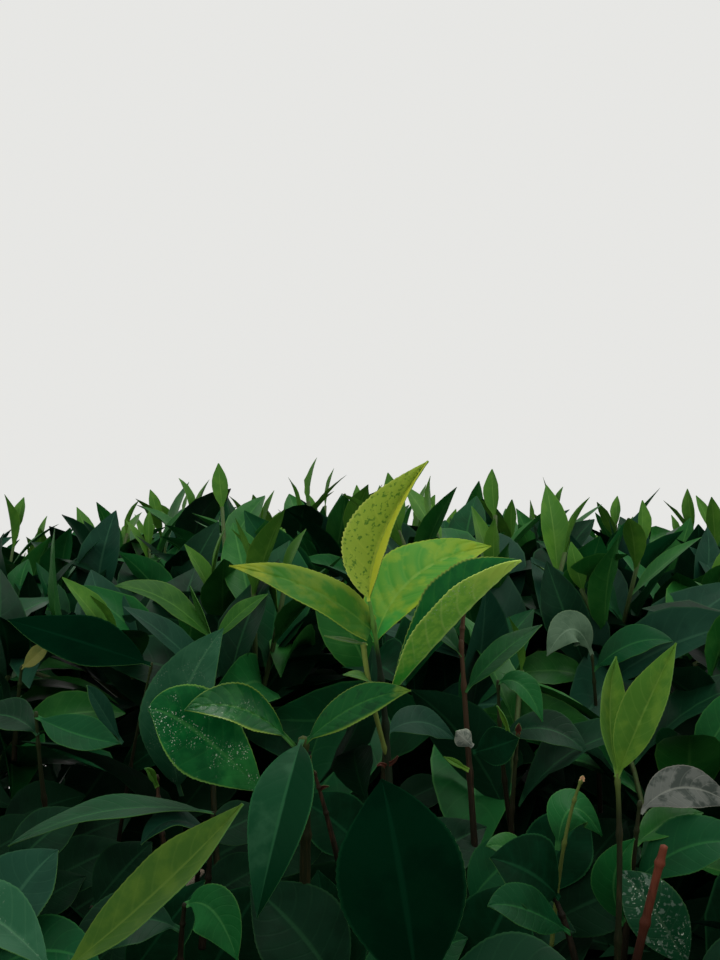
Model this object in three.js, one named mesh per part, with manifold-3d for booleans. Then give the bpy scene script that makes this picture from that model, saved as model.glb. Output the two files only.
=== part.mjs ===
// A tea bush, kept low and broad by plucking, with one tall young shoot standing above the front of its table.
// Millimetres, +Z up. The origin is the middle of the flat cut under the trunk, at ground level. The front is -Y.
import * as THREE from "three";
import { mergeVertices } from "three/addons/utils/BufferGeometryUtils.js";
import Module from "manifold-3d";

const wasm = await Module();
wasm.setup();

// Driving dimensions of the crown.
const GAP = 0.3; // clearance between one piece and the next
const CROWN_RADIUS = 700; // tips of the outermost leaves
const SHOULDER = 640; // radius where the plucked table turns down the side
const TABLE_TOP = 795; // height of the table at the middle of the crown
const TABLE_FALL = 95; // how much lower the table is at the shoulder
const TABLE_CURVE = 1.7; // power by which the table falls with distance from the trunk
const MIDDLE_RADIUS = 240; // radius of the mass of foliage over the trunk
const SIDE_FOOT = 470; // height of the lowest leafy twigs on the crown's side
const UNDERCUT = 80; // how much nearer the trunk the crown's side is at its foot than at its shoulder
const SPACE_MARGIN = 2; // between a mass's space and its neighbour's
const LEAF_REACH = 60; // how far leaves may stand above the table
const LEAF_DROOP = 45; // and how far below the core

// The dense core of a mass.
const CORE_DEPTH = 52; // its top, below the table
const CORE_MARGIN = 18; // between its side and the side of its mass's space
const CORE_THICKNESS = 125; // in the middle of the crown
const CORE_THICKENING = 0.15; // more for each millimetre from the trunk
const CORE_POWER = 5; // how square its corners are
const CORE_LUMPS = 7;
const LUMP_SPACING = [41, 53];

// The trunk, and the boughs and limbs that rise from it.
const TRUNK_HEIGHT = 140;
const TRUNK_RADIUS = 37;
const TRUNK_DOME = 0.55; // share of its radius that the trunk's top is drawn in by
const ROOT_FLARE = 24;
const FLARE_HEIGHT = 30;
const FLARE_LOBES = 5;
const KNUCKLE_SWELL = 9; // swelling at the old collar cut, where the trunk forks
const KNUCKLE_HEIGHT = 112;
const KNUCKLE_SPAN = 30;
const BOUGH_FOOT = 96; // height at which the boughs leave the trunk's axis
const BOUGH_RADIUS = [21, 15.5];
const FORK_SWELL = 2.6; // swelling where a bough forks, and its place and span as shares of the bough
const FORK_SWELL_AT = 0.96;
const FORK_SWELL_SPAN = 0.09;
const LEADER_RADIUS = [16, 7];
const LIMB_RADIUS = [12, 6.5];
const LIMB_END = 425; // distance from the trunk's foot to a limb's tip
const STEM_LENGTH = 26; // of a mass's stem, from the limb's tip to the core
const STEM_SUNK = 26; // how far the stem goes on into the core
const STEM_TIP_RADIUS = 5.5;
const FIRST_FORK = 0.75; // share of the stem's whole length at which its twigs start

// Twigs and leaves of the masses, larger than life because they stand for many more.
const TABLE_TWIGS = 13; // leafy twigs under the table in each mass
const TABLE_INSET = 22; // from a mass's side to its nearest twig tip
const TWIG_BELOW_TABLE = 14;
const SIDE_TWIGS = 6; // leafy twigs on the outer side of each mass round the middle
const SIDE_TURN = 0.86; // share of the mass's turn that they are spread over
const SIDE_ROWS = 3;
const SIDE_STEP = 0.36; // share of the side's height from one row of them to the next
const SIDE_START = 0.2; // of a step, from the shoulder to the first row
const TWIG_RADIUS = 5;
const TWIG_TIP_RADIUS = 2.6;
const TWIG_TAPER = 0.8; // from one fork to the next
const LEAVES_ON_TWIG = 3;
const LEAF_SPACING = 11;
const LEAF_TURN = 144; // degrees round the twig from one leaf to the next
const LEAF_TILT = [78, 64, 50]; // degrees between twig and leaf, from the lowest leaf up
const LEAF_LENGTH = 80;
const LEAF_HALF_WIDTH = 17;
const LEAF_THICKNESS = 1.4;
const LEAF_FOLD = 0.22; // rise of a leaf's margins over its midrib, as a share of its half width
const LEAF_WIDEST = 0.45; // share of its length at which it is widest
const LEAF_SUNK = 2; // how deep its root is sunk in the twig's axis
const LEAF_CLEARANCE = 3;

// Facets: round a limb and along it, or round a ball and up it.
const TRUNK_FACETS = [20, 10];
const BOUGH_FACETS = [10, 7];
const LEADER_FACETS = [8, 6];
const LIMB_FACETS = [7, 5];
const SPRIG_STEM_FACETS = [5, 4];
const MASS_STEM_FACETS = [8, 1];
const TWIG_FACETS = [3, 1];
const CORE_FACETS = [16, 10];

// Place of the tall shoot's upper leaf joint. Its own sizes below are measured from here: right, back and up.
const SHOOT = new THREE.Vector3(0, -340, 805);

const bark = new THREE.MeshStandardMaterial({ color: 0x6b5f50, roughness: 0.9, metalness: 0 });
const greenwood = new THREE.MeshStandardMaterial({ color: 0x5f6b2c, roughness: 0.6, metalness: 0 });
const oldLeaf = new THREE.MeshStandardMaterial({ color: 0x12452c, roughness: 0.4, metalness: 0 });
const youngLeaf = new THREE.MeshStandardMaterial({ color: 0x7d9a2e, roughness: 0.5, metalness: 0 });

const vector = (x, y, z) => new THREE.Vector3(x, y, z);
const radians = THREE.MathUtils.degToRad;
const degrees = THREE.MathUtils.radToDeg;
const mix = (a, b, share) => a + (b - a) * share;
const bell = (t) => Math.exp(-(t ** 2));
const onShoot = ([x, y, z]) => SHOOT.clone().add(vector(x, y, z));

const bush = new THREE.Group();
bush.name = "tea_bush";

// A closed three.js shape with its shared corners merged, and each corner then moved by place(x, y, z).
function shaped(geometry, place) {
  geometry.deleteAttribute("normal");
  geometry.deleteAttribute("uv");
  const merged = mergeVertices(geometry, 1e-4);
  const at = merged.attributes.position;
  for (let i = 0; i < at.count; i++) {
    const moved = place(at.getX(i), at.getY(i), at.getZ(i));
    at.setXYZ(i, moved.x, moved.y, moved.z);
  }
  return merged;
}

function solid(geometry) {
  const vertProperties = new Float32Array(geometry.attributes.position.array);
  const triVerts = new Uint32Array(geometry.index.array);
  return new wasm.Manifold(new wasm.Mesh({ numProp: 3, vertProperties, triVerts }));
}

// Joins many solids two by two, so that no join is between one huge solid and one small one.
function joined(solids) {
  let left = [...solids];
  while (left.length > 1) {
    const pairs = [];
    for (let i = 0; i < left.length; i += 2) {
      pairs.push(i + 1 < left.length ? left[i].add(left[i + 1]) : left[i]);
    }
    left = pairs;
  }
  return left[0];
}

// The largest single body of a solid: what a cut leaves loose is dropped, and facets that joining split are
// merged where that moves nothing by more than the smoothing.
const SMOOTHING = 0.2;

function largest(cut) {
  const body = cut.decompose().sort((a, b) => b.volume() - a.volume())[0];
  return body.asOriginal().simplify(SMOOTHING);
}

function addPiece(name, piece, material) {
  const mesh = piece.getMesh();
  const geometry = new THREE.BufferGeometry();
  const at = new Float32Array(mesh.numVert * 3);
  for (let i = 0; i < mesh.numVert; i++) {
    at.set(mesh.vertProperties.subarray(i * mesh.numProp, i * mesh.numProp + 3), i * 3);
  }
  geometry.setAttribute("position", new THREE.BufferAttribute(at, 3));
  geometry.setIndex(new THREE.BufferAttribute(new Uint32Array(mesh.triVerts), 1));
  const node = new THREE.Mesh(geometry, material);
  node.name = name;
  bush.add(node);
}

// A bowed line from one point to another, drawn aside by its bend point. across is square to the plane it bends
// in, or to the line and one axis where it is straight.
function bow(from, bend, to) {
  const curve = new THREE.QuadraticBezierCurve3(from, bend, to);
  const chord = to.clone().sub(from).normalize();
  const aside = bend.clone().sub(from).normalize().cross(chord);
  const axis = Math.abs(chord.x) < Math.abs(chord.y) ? vector(1, 0, 0) : vector(0, 1, 0);
  curve.across = (aside.length() > 0.01 ? aside : chord.cross(axis)).normalize();
  return curve;
}

function straight(from, to) {
  return bow(from, from.clone().lerp(to, 0.5), to);
}

function direction(curve, t) {
  const first = curve.v1.clone().sub(curve.v0).multiplyScalar(1 - t);
  return first.addScaledVector(curve.v2.clone().sub(curve.v1), t).normalize();
}

// A round limb along a bowed line. grow widens and lengthens it all round, to cut its neighbours clear of it.
function limb(curve, radius, facets, grow = 0) {
  const overrun = grow / curve.v0.distanceTo(curve.v2);
  return solid(
    shaped(new THREE.CylinderGeometry(1, 1, 1, ...facets), (x, y, z) => {
      const t = mix(-overrun, 1 + overrun, y + 0.5);
      const along = direction(curve, t);
      const side = along.clone().cross(curve.across).normalize();
      const reach = radius(t) + grow;
      return curve
        .getPoint(t)
        .addScaledVector(side, x * reach)
        .addScaledVector(curve.across, z * reach);
    }),
  );
}

function taper(start, end) {
  return (t) => mix(start, end, t);
}

// What foliage must keep clear of, as balls along the limbs and over the leaves of the tall shoots.
const kept = [];

function keepClearOfLimb(curve, radius, step) {
  const count = Math.ceil(curve.v0.distanceTo(curve.v2) / step);
  for (let i = 0; i <= count; i++) {
    kept.push({ at: curve.getPoint(i / count), radius: radius(i / count) + step / 3 });
  }
}

// The trunk: horizontal rings on a slightly leaning axis, lobed where the roots flare, swollen at the old collar cut
// where it forks, and domed above it.
const TRUNK_LEAN = vector(14, -8, 0);
const LEAN_CURVE = 1.5;
const FLARE_SHARES = [0.68, 0.32]; // of the flare: all round, and in its lobes
const FLARE_TURN = 0.8;

function trunkAxis(z) {
  return TRUNK_LEAN.clone().multiplyScalar((z / TRUNK_HEIGHT) ** LEAN_CURVE).setZ(z);
}

function trunkRadius(z, angle) {
  const lobes = FLARE_SHARES[0] + FLARE_SHARES[1] * Math.cos(FLARE_LOBES * angle + FLARE_TURN);
  const flare = ROOT_FLARE * Math.exp(-z / FLARE_HEIGHT) * lobes;
  const knuckle = KNUCKLE_SWELL * bell((z - KNUCKLE_HEIGHT) / KNUCKLE_SPAN);
  const dome = Math.max(0, (z - KNUCKLE_HEIGHT) / (TRUNK_HEIGHT - KNUCKLE_HEIGHT));
  return (TRUNK_RADIUS + flare + knuckle) * (1 - TRUNK_DOME * dome ** 2);
}

function trunkSolid(grow = 0) {
  return solid(
    shaped(new THREE.CylinderGeometry(1, 1, 1, ...TRUNK_FACETS), (x, y, z) => {
      const height = (y + 0.5) * TRUNK_HEIGHT;
      const ring = Math.hypot(x, z);
      const angle = Math.atan2(-z, x);
      const reach = ring * (trunkRadius(height, angle) + grow);
      const lift = y > 0 ? grow * 2 * y : 0;
      const at = trunkAxis(height);
      return vector(at.x + reach * Math.cos(angle), at.y + reach * Math.sin(angle), height + lift);
    }),
  );
}

// Heights of the plucked table and of the core under it, by distance from the trunk.
function tableHeight(radius) {
  return TABLE_TOP - TABLE_FALL * (radius / SHOULDER) ** TABLE_CURVE;
}

function coreTop(radius) {
  return tableHeight(radius) - CORE_DEPTH;
}

function coreThickness(radius) {
  return CORE_THICKNESS + CORE_THICKENING * radius;
}

function polar(radius, angle, z) {
  return vector(radius * Math.cos(radians(angle)), radius * Math.sin(radians(angle)), z);
}

// The masses of foliage: one over the trunk and seven round it, each with its own share of the full turn in
// degrees, and its own share of the crown's radius.
const ROUND_MASSES = [
  { place: "front", turn: 54, reach: 1 },
  { place: "front_right", turn: 50, reach: 0.96 },
  { place: "right", turn: 49, reach: 1 },
  { place: "back_right", turn: 53, reach: 0.94 },
  { place: "back_left", turn: 51, reach: 0.99 },
  { place: "left", turn: 50, reach: 0.95 },
  { place: "front_left", turn: 53, reach: 0.98 },
];
const FRONT = 270;
let edge = FRONT - ROUND_MASSES[0].turn / 2;
for (const mass of ROUND_MASSES) {
  mass.angle = edge + mass.turn / 2;
  mass.half = mass.turn / 2;
  mass.inner = MIDDLE_RADIUS;
  mass.outer = CROWN_RADIUS * mass.reach;
  mass.shoulder = SHOULDER * mass.reach;
  edge += mass.turn;
}
const MIDDLE_MASS = { place: "middle", angle: 0, outer: MIDDLE_RADIUS };
const MASSES = [...ROUND_MASSES, MIDDLE_MASS];

// The turn from one angle to another, in degrees, at most half a turn either way.
function turnBetween(from, to) {
  return THREE.MathUtils.euclideanModulo(to - from + 180, 360) - 180;
}

// Is a point in the mass's own space?
function inSpace(mass, point) {
  const radius = Math.hypot(point.x, point.y);
  if (point.z > tableHeight(radius) + LEAF_REACH) return false;
  if (point.z < coreTop(radius) - coreThickness(radius) - LEAF_DROOP) return false;
  if (mass === MIDDLE_MASS) return radius < MIDDLE_RADIUS - SPACE_MARGIN;
  const off = turnBetween(mass.angle, degrees(Math.atan2(point.y, point.x)));
  const side = radius * Math.sin(radians(mass.half - Math.abs(off)));
  return side > SPACE_MARGIN && radius > mass.inner + 2 * SPACE_MARGIN && radius < mass.outer;
}

// A point of a round mass's plan, inset from its space's sides: a runs from -1 at the trunk's side to 1 at the
// shoulder, b from -1 to 1 round the trunk.
function planPoint(mass, a, b, inset, z) {
  const radius = mix(mass.inner + inset, mass.shoulder - inset, (a + 1) / 2);
  return polar(radius, mass.angle + b * (mass.half - degrees(inset / radius)), z);
}

// The dense core: a ball squared off to a rounded slab that follows the table, drawn in towards its foot, with
// a few shallow lumps.
function coreSolid(mass, grow = 0) {
  return solid(
    shaped(new THREE.SphereGeometry(1, ...CORE_FACETS), (x, y, z) => {
      const powers = [x, y, z].map((one) => Math.abs(one) ** CORE_POWER);
      const size = (powers[0] + powers[1] + powers[2]) ** (1 / CORE_POWER);
      const [a, b, c] = [x / size, -z / size, y / size];
      const inset = CORE_MARGIN - grow;
      const disc = vector(a, b, 0).multiplyScalar((mass.outer - inset) / Math.max(1, Math.hypot(a, b)));
      const at = mass === MIDDLE_MASS ? disc : planPoint(mass, a, b, inset, 0);
      const radius = Math.hypot(at.x, at.y);
      const lump = CORE_LUMPS * Math.sin(at.x / LUMP_SPACING[0]) * Math.cos(at.y / LUMP_SPACING[1]);
      const half = coreThickness(radius) / 2;
      const drawnIn = 1 - (UNDERCUT / SHOULDER) * ((1 - c) / 2) * (radius / SHOULDER);
      return at.multiplyScalar(drawnIn).setZ(coreTop(radius) - half + c * (half + grow + lump));
    }),
  );
}

// The boughs: three rise from the trunk's knuckle and fork, a leader goes up between them, and a limb runs from a
// fork to each mass round the middle.
const BOUGHS = [
  { place: "front", angle: 296, reach: 175, rise: 322, serves: ["front", "front_right"] },
  { place: "right", angle: 42, reach: 180, rise: 335, serves: ["right", "back_right"] },
  { place: "left", angle: 166, reach: 165, rise: 300, serves: ["back_left", "left", "front_left"] },
];
const BOUGH_BEND = [0.72, 0.36]; // shares of a bough's reach and rise at its bend point
const LIMB_BEND = [0.85, 0.3]; // and the same for a limb
const LIMB_TURN = 0.7; // share of the turn to its mass that a limb has made there
const FORK_OVERLAP = 6; // how far down the bough a limb starts
const LEADER_BEND = vector(-14, 16, 330);
const LEADER_END = vector(18, 10, coreTop(0) - coreThickness(0) - STEM_LENGTH);

function knuckled(start, end) {
  return (t) => mix(start, end, t) + FORK_SWELL * bell((t - FORK_SWELL_AT) / FORK_SWELL_SPAN);
}

function boughCurve(bough) {
  const from = trunkAxis(BOUGH_FOOT).add(polar(TRUNK_RADIUS / 5, bough.angle, 0));
  const to = polar(bough.reach, bough.angle, bough.rise);
  const bend = polar(bough.reach * BOUGH_BEND[0], bough.angle, mix(from.z, to.z, BOUGH_BEND[1]));
  return bow(from, bend, to);
}

function limbCurve(bough, mass) {
  const fork = boughCurve(bough);
  const from = fork.getPoint(1).addScaledVector(direction(fork, 1), -FORK_OVERLAP);
  const to = polar(LIMB_END, mass.angle, coreTop(LIMB_END) - coreThickness(LIMB_END) - STEM_LENGTH);
  const turned = bough.angle + LIMB_TURN * turnBetween(bough.angle, mass.angle);
  const bend = polar(mix(bough.reach, LIMB_END, LIMB_BEND[0]), turned, mix(from.z, to.z, LIMB_BEND[1]));
  return bow(from, bend, to);
}

const limbs = {}; // the curve that carries each mass
const cutters = [trunkSolid(GAP)];

function addLimb(name, curve, radius, facets) {
  let piece = limb(curve, radius, facets);
  for (const cutter of cutters) piece = piece.subtract(cutter);
  addPiece(name, largest(piece), bark);
  cutters.push(limb(curve, radius, facets, GAP));
  keepClearOfLimb(curve, radius, LIMB_RADIUS[0]);
}

addPiece("trunk", trunkSolid(), bark);
for (const bough of BOUGHS) {
  addLimb(`bough_${bough.place}`, boughCurve(bough), knuckled(...BOUGH_RADIUS), BOUGH_FACETS);
}
limbs.middle = bow(trunkAxis(KNUCKLE_HEIGHT), LEADER_BEND, LEADER_END);
addLimb("leader", limbs.middle, taper(...LEADER_RADIUS), LEADER_FACETS);
for (const bough of BOUGHS) {
  for (const mass of ROUND_MASSES.filter((one) => bough.serves.includes(one.place))) {
    limbs[mass.place] = limbCurve(bough, mass);
    addLimb(`limb_${mass.place}`, limbs[mass.place], taper(...LIMB_RADIUS), LIMB_FACETS);
  }
}

// A leaf blade in full, along a midrib that is a bowed line from its stalk's foot through mid to its tip. face is the
// way its upper side looks, half its half width, fold the angle in degrees at which each half rises from the midrib,
// and curl how many degrees more each half, left and right, turns on its way to the margin. stalk is the share of
// its length before the blade opens.
const STALK_HALF_WIDTH = 0.9;
const STALK_SHARE = 0.06; // unless the leaf says otherwise
const TIP_HALF_WIDTH = 0.35;
const BLADE_THICKNESS = 0.8;
const BLADE_FULLNESS = [0.92, 0.95]; // powers: the first moves its widest place up, the second fills its outline
const FLAT = 1e-6; // stands for no curl, where an arc needs some
const SHOOT_LEAF_STEPS = [8, 4]; // facets along a blade and across it
const SPRIG_LEAF_STEPS = [5, 2];
const SCALE_LEAF_STEPS = [3, 2];

function midrib(leaf) {
  const [from, mid, tip] = [leaf.from, leaf.mid, leaf.tip].map(onShoot);
  return bow(from, mid.clone().multiplyScalar(2).addScaledVector(from, -0.5).addScaledVector(tip, -0.5), tip);
}

function outline(leaf, u) {
  const stalk = leaf.stalk ?? STALK_SHARE;
  const along = (u - stalk) / (1 - stalk);
  if (along <= 0) return STALK_HALF_WIDTH;
  const [shift, fill] = BLADE_FULLNESS;
  const width = leaf.half * Math.sin(Math.PI * Math.min(1, along) ** shift) ** fill;
  return Math.max(width, mix(STALK_HALF_WIDTH, TIP_HALF_WIDTH, along));
}

// A half of the blade is an arc in its cross-section: it leaves the midrib at the fold and turns by the curl.
function bladePoint(leaf, u, v, lift) {
  const curve = midrib(leaf);
  const along = direction(curve, u);
  const side = along.clone().cross(vector(...leaf.face)).normalize();
  const up = side.clone().cross(along).normalize();
  const sense = Math.sign(v);
  const start = radians(leaf.fold);
  const curl = radians((leaf.curl ?? [0, 0])[v < 0 ? 0 : 1]) || FLAT;
  const end = start + curl * Math.abs(v);
  const reach = outline(leaf, u) / curl;
  const across = sense * reach * (Math.sin(end) - Math.sin(start));
  const rise = reach * (Math.cos(start) - Math.cos(end));
  const lean = v === 0 ? 0 : end;
  return curve
    .getPoint(u)
    .addScaledVector(side, across - sense * lift * Math.sin(lean))
    .addScaledVector(up, rise + lift * Math.cos(lean));
}

function blade(leaf, steps, ribs, thickness) {
  return solid(
    shaped(new THREE.BoxGeometry(1, 1, 1, steps, 1, ribs), (x, y, z) =>
      bladePoint(leaf, x + 0.5, 2 * z, y * thickness),
    ),
  );
}

function keepClearOfBlade(leaf) {
  for (let u = 0; u <= 1; u += 1 / 8) {
    for (let v = -1; v <= 1; v += 1 / 2) {
      kept.push({ at: bladePoint(leaf, u, v, 0), radius: LEAF_CLEARANCE });
    }
  }
}

// Stems that stand on the front mass's core, each from the core to its leaf joint.
const frontCore = coreSolid(ROUND_MASSES[0], GAP);

function sprigStem(from, bend, to, radius, grow = 0) {
  const curve = bow(onShoot(from), onShoot(bend), onShoot(to));
  if (!grow) keepClearOfLimb(curve, radius, 2 * LEAF_CLEARANCE);
  return limb(curve, radius, SPRIG_STEM_FACETS, grow);
}

// The tall shoot: a stem with a thin side twig and two scale leaves, and four young leaves joined to it.
const shootStemParts = (grow) => [
  sprigStem([5.9, 0.1, -112], [6.5, -0.5, -35], [-0.8, 0.5, 12.4], taper(1.8, 1.1), grow),
  sprigStem([4.6, -0.2, -37], [0.4, -5.5, -18], [-2.8, -3.2, -0.6], taper(0.9, 0.7), grow),
];
const SCALE_LEAVES = [
  {
    from: [-1.6, -3.1, -1], mid: [-8, -3.8, 0.3], tip: [-15.4, -2.9, 1.8],
    face: [0, -0.3, 1], half: 1.6, fold: 12,
  },
  {
    from: [0.5, -3.4, -14], mid: [-3.6, -6.2, -10.9], tip: [-9.2, -9.4, -9.6],
    face: [0.3, -0.5, 1], half: 2.4, fold: 15,
  },
];
const SHOOT_LEAVES = {
  top: {
    from: [-0.8, 0.5, 12.4], mid: [3.2, 1.5, 33.5], tip: [17.8, -3.8, 57.8],
    face: [-0.44, -0.9, 0.1], half: 12.5, fold: 44, curl: [0, 20], stalk: 0.02,
  },
  left: {
    from: [-0.8, -0.4, -0.6], mid: [-19.6, -6.5, 14], tip: [-44.7, -13, 25.3],
    face: [0.15, -0.62, 0.76], half: 11, fold: 6, stalk: 0.02,
  },
  back: {
    from: [1, 0.9, -1], mid: [14.6, 17.7, 18.6], tip: [41.5, 33.1, 27.4],
    face: [-0.3, -0.75, 0.58], half: 12.5, fold: 14, stalk: 0.04,
  },
  right: {
    from: [4.2, -1, -20.5], mid: [25.6, -18.5, 9.2], tip: [44.9, -25, 28.3],
    face: [-0.7, -0.19, 0.69], half: 14.5, fold: 51, stalk: 0.12,
  },
};

// The low twig beside it, with four broad older leaves.
const sideTwig = (grow) =>
  sprigStem([-23, -9.8, -110], [-20, -12, -70], [-21.6, -15.4, -28.2], taper(2.1, 1.4), grow);
const SIDE_LEAVES = {
  right: {
    from: [-20.8, -16, -29.5], mid: [-4.9, -19.5, -17.2], tip: [11.7, -23.5, -11.8],
    face: [-0.1, -0.75, 0.65], half: 6.2, fold: 8, stalk: 0.03,
  },
  upper: {
    from: [-22.6, -16.4, -33], mid: [-38.1, -31, -16.3], tip: [-55.3, -40, -14.4],
    face: [0.1, -0.7, 0.7], half: 7.4, fold: 10, curl: [0, 40], stalk: 0.16,
  },
  left: {
    from: [-23, -13.3, -58], mid: [-50.4, -28.5, -25.6], tip: [-66.6, -36, -15],
    face: [0.28, -0.8, 0.52], half: 13.5, fold: 5, stalk: 0.18,
  },
  hanging: {
    from: [-21.8, -16.9, -28.6], mid: [-27, -36.5, -44], tip: [-33.9, -44, -74.5],
    face: [-0.15, -0.9, 0.4], half: 9.4, fold: 14, stalk: 0.05,
  },
};

// Each leaf of a shoot is a piece of its own, cut clear of the stem and of the leaves before it.
function addLeaves(prefix, leaves, stem, material) {
  const cutters = [stem];
  for (const [place, leaf] of Object.entries(leaves)) {
    const whole = blade(leaf, ...SHOOT_LEAF_STEPS, BLADE_THICKNESS);
    const piece = cutters.reduce((left, cutter) => left.subtract(cutter), whole);
    addPiece(`${prefix}_leaf_${place}`, largest(piece), material);
    cutters.push(blade({ ...leaf, half: leaf.half + GAP }, ...SHOOT_LEAF_STEPS, BLADE_THICKNESS + 2 * GAP));
    keepClearOfBlade(leaf);
  }
}

const scaleLeaves = (thickness) => SCALE_LEAVES.map((leaf) => blade(leaf, ...SCALE_LEAF_STEPS, thickness));
const shootStem = joined([...shootStemParts(0), ...scaleLeaves(BLADE_THICKNESS)]);
SCALE_LEAVES.forEach(keepClearOfBlade);
addPiece("shoot_stem", largest(shootStem.subtract(frontCore)), greenwood);
const shootClearance = joined([...shootStemParts(GAP), ...scaleLeaves(BLADE_THICKNESS + 2 * GAP)]);
addLeaves("shoot", SHOOT_LEAVES, shootClearance, youngLeaf);
addPiece("side_twig", largest(sideTwig(0).subtract(frontCore)), greenwood);
addLeaves("side", SIDE_LEAVES, sideTwig(GAP), oldLeaf);

// Four more sprigs that stand out of the front of the table, each a stem with its leaves joined on.
const SPRIGS = {
  back_left: {
    stem: [[-55, 60, -120], [-62, 78, -60], [-61.2, 89.5, -14.5]],
    leaves: [
      {
        from: [-61, 89.5, -15], mid: [-78.5, 84.2, 1.8], tip: [-96.8, 76.4, 8.5],
        face: [0, -0.5, 0.9], half: 8, fold: 14,
      },
      {
        from: [-61, 89.5, -15], mid: [-51, 94, -4.5], tip: [-40.3, 98.2, 2.8],
        face: [0, -0.5, 0.9], half: 4.5, fold: 14,
      },
      {
        from: [-61.2, 89.5, -15], mid: [-65.5, 90.2, -4], tip: [-70.2, 90.3, 6.9],
        face: [-0.5, -0.8, 0], half: 1.8, fold: 30,
      },
      {
        from: [-60, 76, -64], mid: [-70, 66, -38], tip: [-54, 69, -6.4],
        face: [-0.2, -0.9, 0.3], half: 14, fold: 12,
      },
    ],
  },
  right: {
    stem: [[38, 20, -115], [33, 25, -40], [30.8, 27.9, -4.4]],
    leaves: [
      {
        from: [32.2, 25.6, -22], mid: [44.4, 29.6, -9.9], tip: [59.7, 36, -0.4],
        face: [-0.4, -0.6, 0.7], half: 5.5, fold: 14,
      },
      {
        from: [33.5, 24.4, -40], mid: [43.4, 17, -32.5], tip: [53, 14, -33],
        face: [-0.1, -0.7, 0.7], half: 8.5, fold: 10,
      },
      {
        from: [33.5, 24.4, -40], mid: [30.5, 16, -33], tip: [27.5, 8.7, -33.5],
        face: [0.2, -0.5, 0.8], half: 4.5, fold: 20,
      },
      {
        from: [31.4, 27.3, -10], mid: [21, 36, -1], tip: [8, 50, 3],
        face: [0.2, -0.5, 0.8], half: 6, fold: 20,
      },
    ],
  },
  near_right: {
    stem: [[60, -84, -122], [66, -82, -60], [64, -79, -23]],
    leaves: [
      {
        from: [64, -79, -24], mid: [70.5, -80, -7], tip: [79.6, -77.7, 11.5],
        face: [-0.5, -0.8, 0.3], half: 6.5, fold: 25,
      },
      {
        from: [64, -79, -24], mid: [63, -73, -8.5], tip: [65.6, -68, 6.3],
        face: [0.4, -0.8, 0.3], half: 5, fold: 25,
      },
    ],
  },
  near_left: {
    stem: [[-60, -176, -140], [-64, -180, -84], [-61, -181.3, -34]],
    leaves: [
      {
        from: [-61, -181.3, -35], mid: [-42, -180, -19], tip: [-26, -178, -3],
        face: [-0.5, -0.6, 0.6], half: 6.5, fold: 20,
      },
      {
        from: [-61, -181.3, -35], mid: [-76, -175, -25], tip: [-92, -166, -26],
        face: [0, -0.4, 0.9], half: 7, fold: 20,
      },
    ],
  },
};
for (const [place, sprig] of Object.entries(SPRIGS)) {
  const stem = sprigStem(...sprig.stem, taper(2, 1.4));
  const leaves = sprig.leaves.map((leaf) => blade(leaf, ...SPRIG_LEAF_STEPS, BLADE_THICKNESS));
  sprig.leaves.forEach(keepClearOfBlade);
  addPiece(`sprig_${place}`, largest(joined([stem, ...leaves]).subtract(frontCore)), youngLeaf);
}

// Foliage. Even, repeatable spots over a mass, by two fixed irrational steps.
const STEP_OUT = 0.7548776662;
const STEP_ROUND = 0.569840291;
const evenly = (index, step) => 2 * ((0.5 + index * step) % 1) - 1;

function tableTip(mass, index) {
  const out = evenly(index, STEP_OUT);
  const round = evenly(index, STEP_ROUND);
  const outer = mass === MIDDLE_MASS ? mass.outer - TABLE_INSET : mass.shoulder - TABLE_INSET / 2;
  const inner = mass === MIDDLE_MASS ? 0 : mass.inner + TABLE_INSET;
  const radius = Math.sqrt(mix(inner ** 2, outer ** 2, (out + 1) / 2));
  const half = mass === MIDDLE_MASS ? 180 : mass.half - degrees(TABLE_INSET / radius);
  return polar(radius, mass.angle + round * half, tableHeight(radius) - TWIG_BELOW_TABLE);
}

function sideTip(mass, index) {
  const round = ((index + 0.5) / SIDE_TWIGS) * 2 - 1;
  const down = ((index % SIDE_ROWS) + SIDE_START) * SIDE_STEP;
  const height = mix(tableHeight(mass.shoulder) - 2 * TWIG_BELOW_TABLE, SIDE_FOOT, down);
  return polar(mass.shoulder - UNDERCUT * down, mass.angle + round * mass.half * SIDE_TURN, height);
}

function twigTips(mass) {
  const onTable = Array.from({ length: TABLE_TWIGS }, (_, index) => tableTip(mass, index));
  if (mass === MIDDLE_MASS) return onTable;
  return [...onTable, ...Array.from({ length: SIDE_TWIGS }, (_, index) => sideTip(mass, index))];
}

// The branching rule: the twig tips served are halved across their longest spread, and a fork stands part of the way
// to the middle of each half, until each twig serves one tip.
const FORK_SHARE = 0.5;
const FORK_RISE = 0.34;

function branches(from, radius, tips, made) {
  if (tips.length === 1) {
    made.push({ from, to: tips[0], radius, leafy: true });
    return;
  }
  const box = new THREE.Box3().setFromPoints(tips);
  const size = box.getSize(vector(0, 0, 0));
  const longest = ["x", "y", "z"].reduce((best, axis) => (size[axis] > size[best] ? axis : best));
  const sorted = [...tips].sort((a, b) => a[longest] - b[longest]);
  const half = Math.floor(sorted.length / 2);
  const thinner = Math.max(TWIG_TIP_RADIUS, radius * TWIG_TAPER);
  for (const served of [sorted.slice(0, half), sorted.slice(half)]) {
    if (served.length === 1) {
      branches(from, thinner, served, made);
      continue;
    }
    const middle = served.reduce((sum, tip) => sum.add(tip), vector(0, 0, 0)).divideScalar(served.length);
    const fork = from.clone().lerp(middle, FORK_SHARE).setZ(mix(from.z, middle.z, FORK_RISE));
    made.push({ from, to: fork, radius: thinner, leafy: false });
    branches(fork, thinner, served, made);
  }
}

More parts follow.
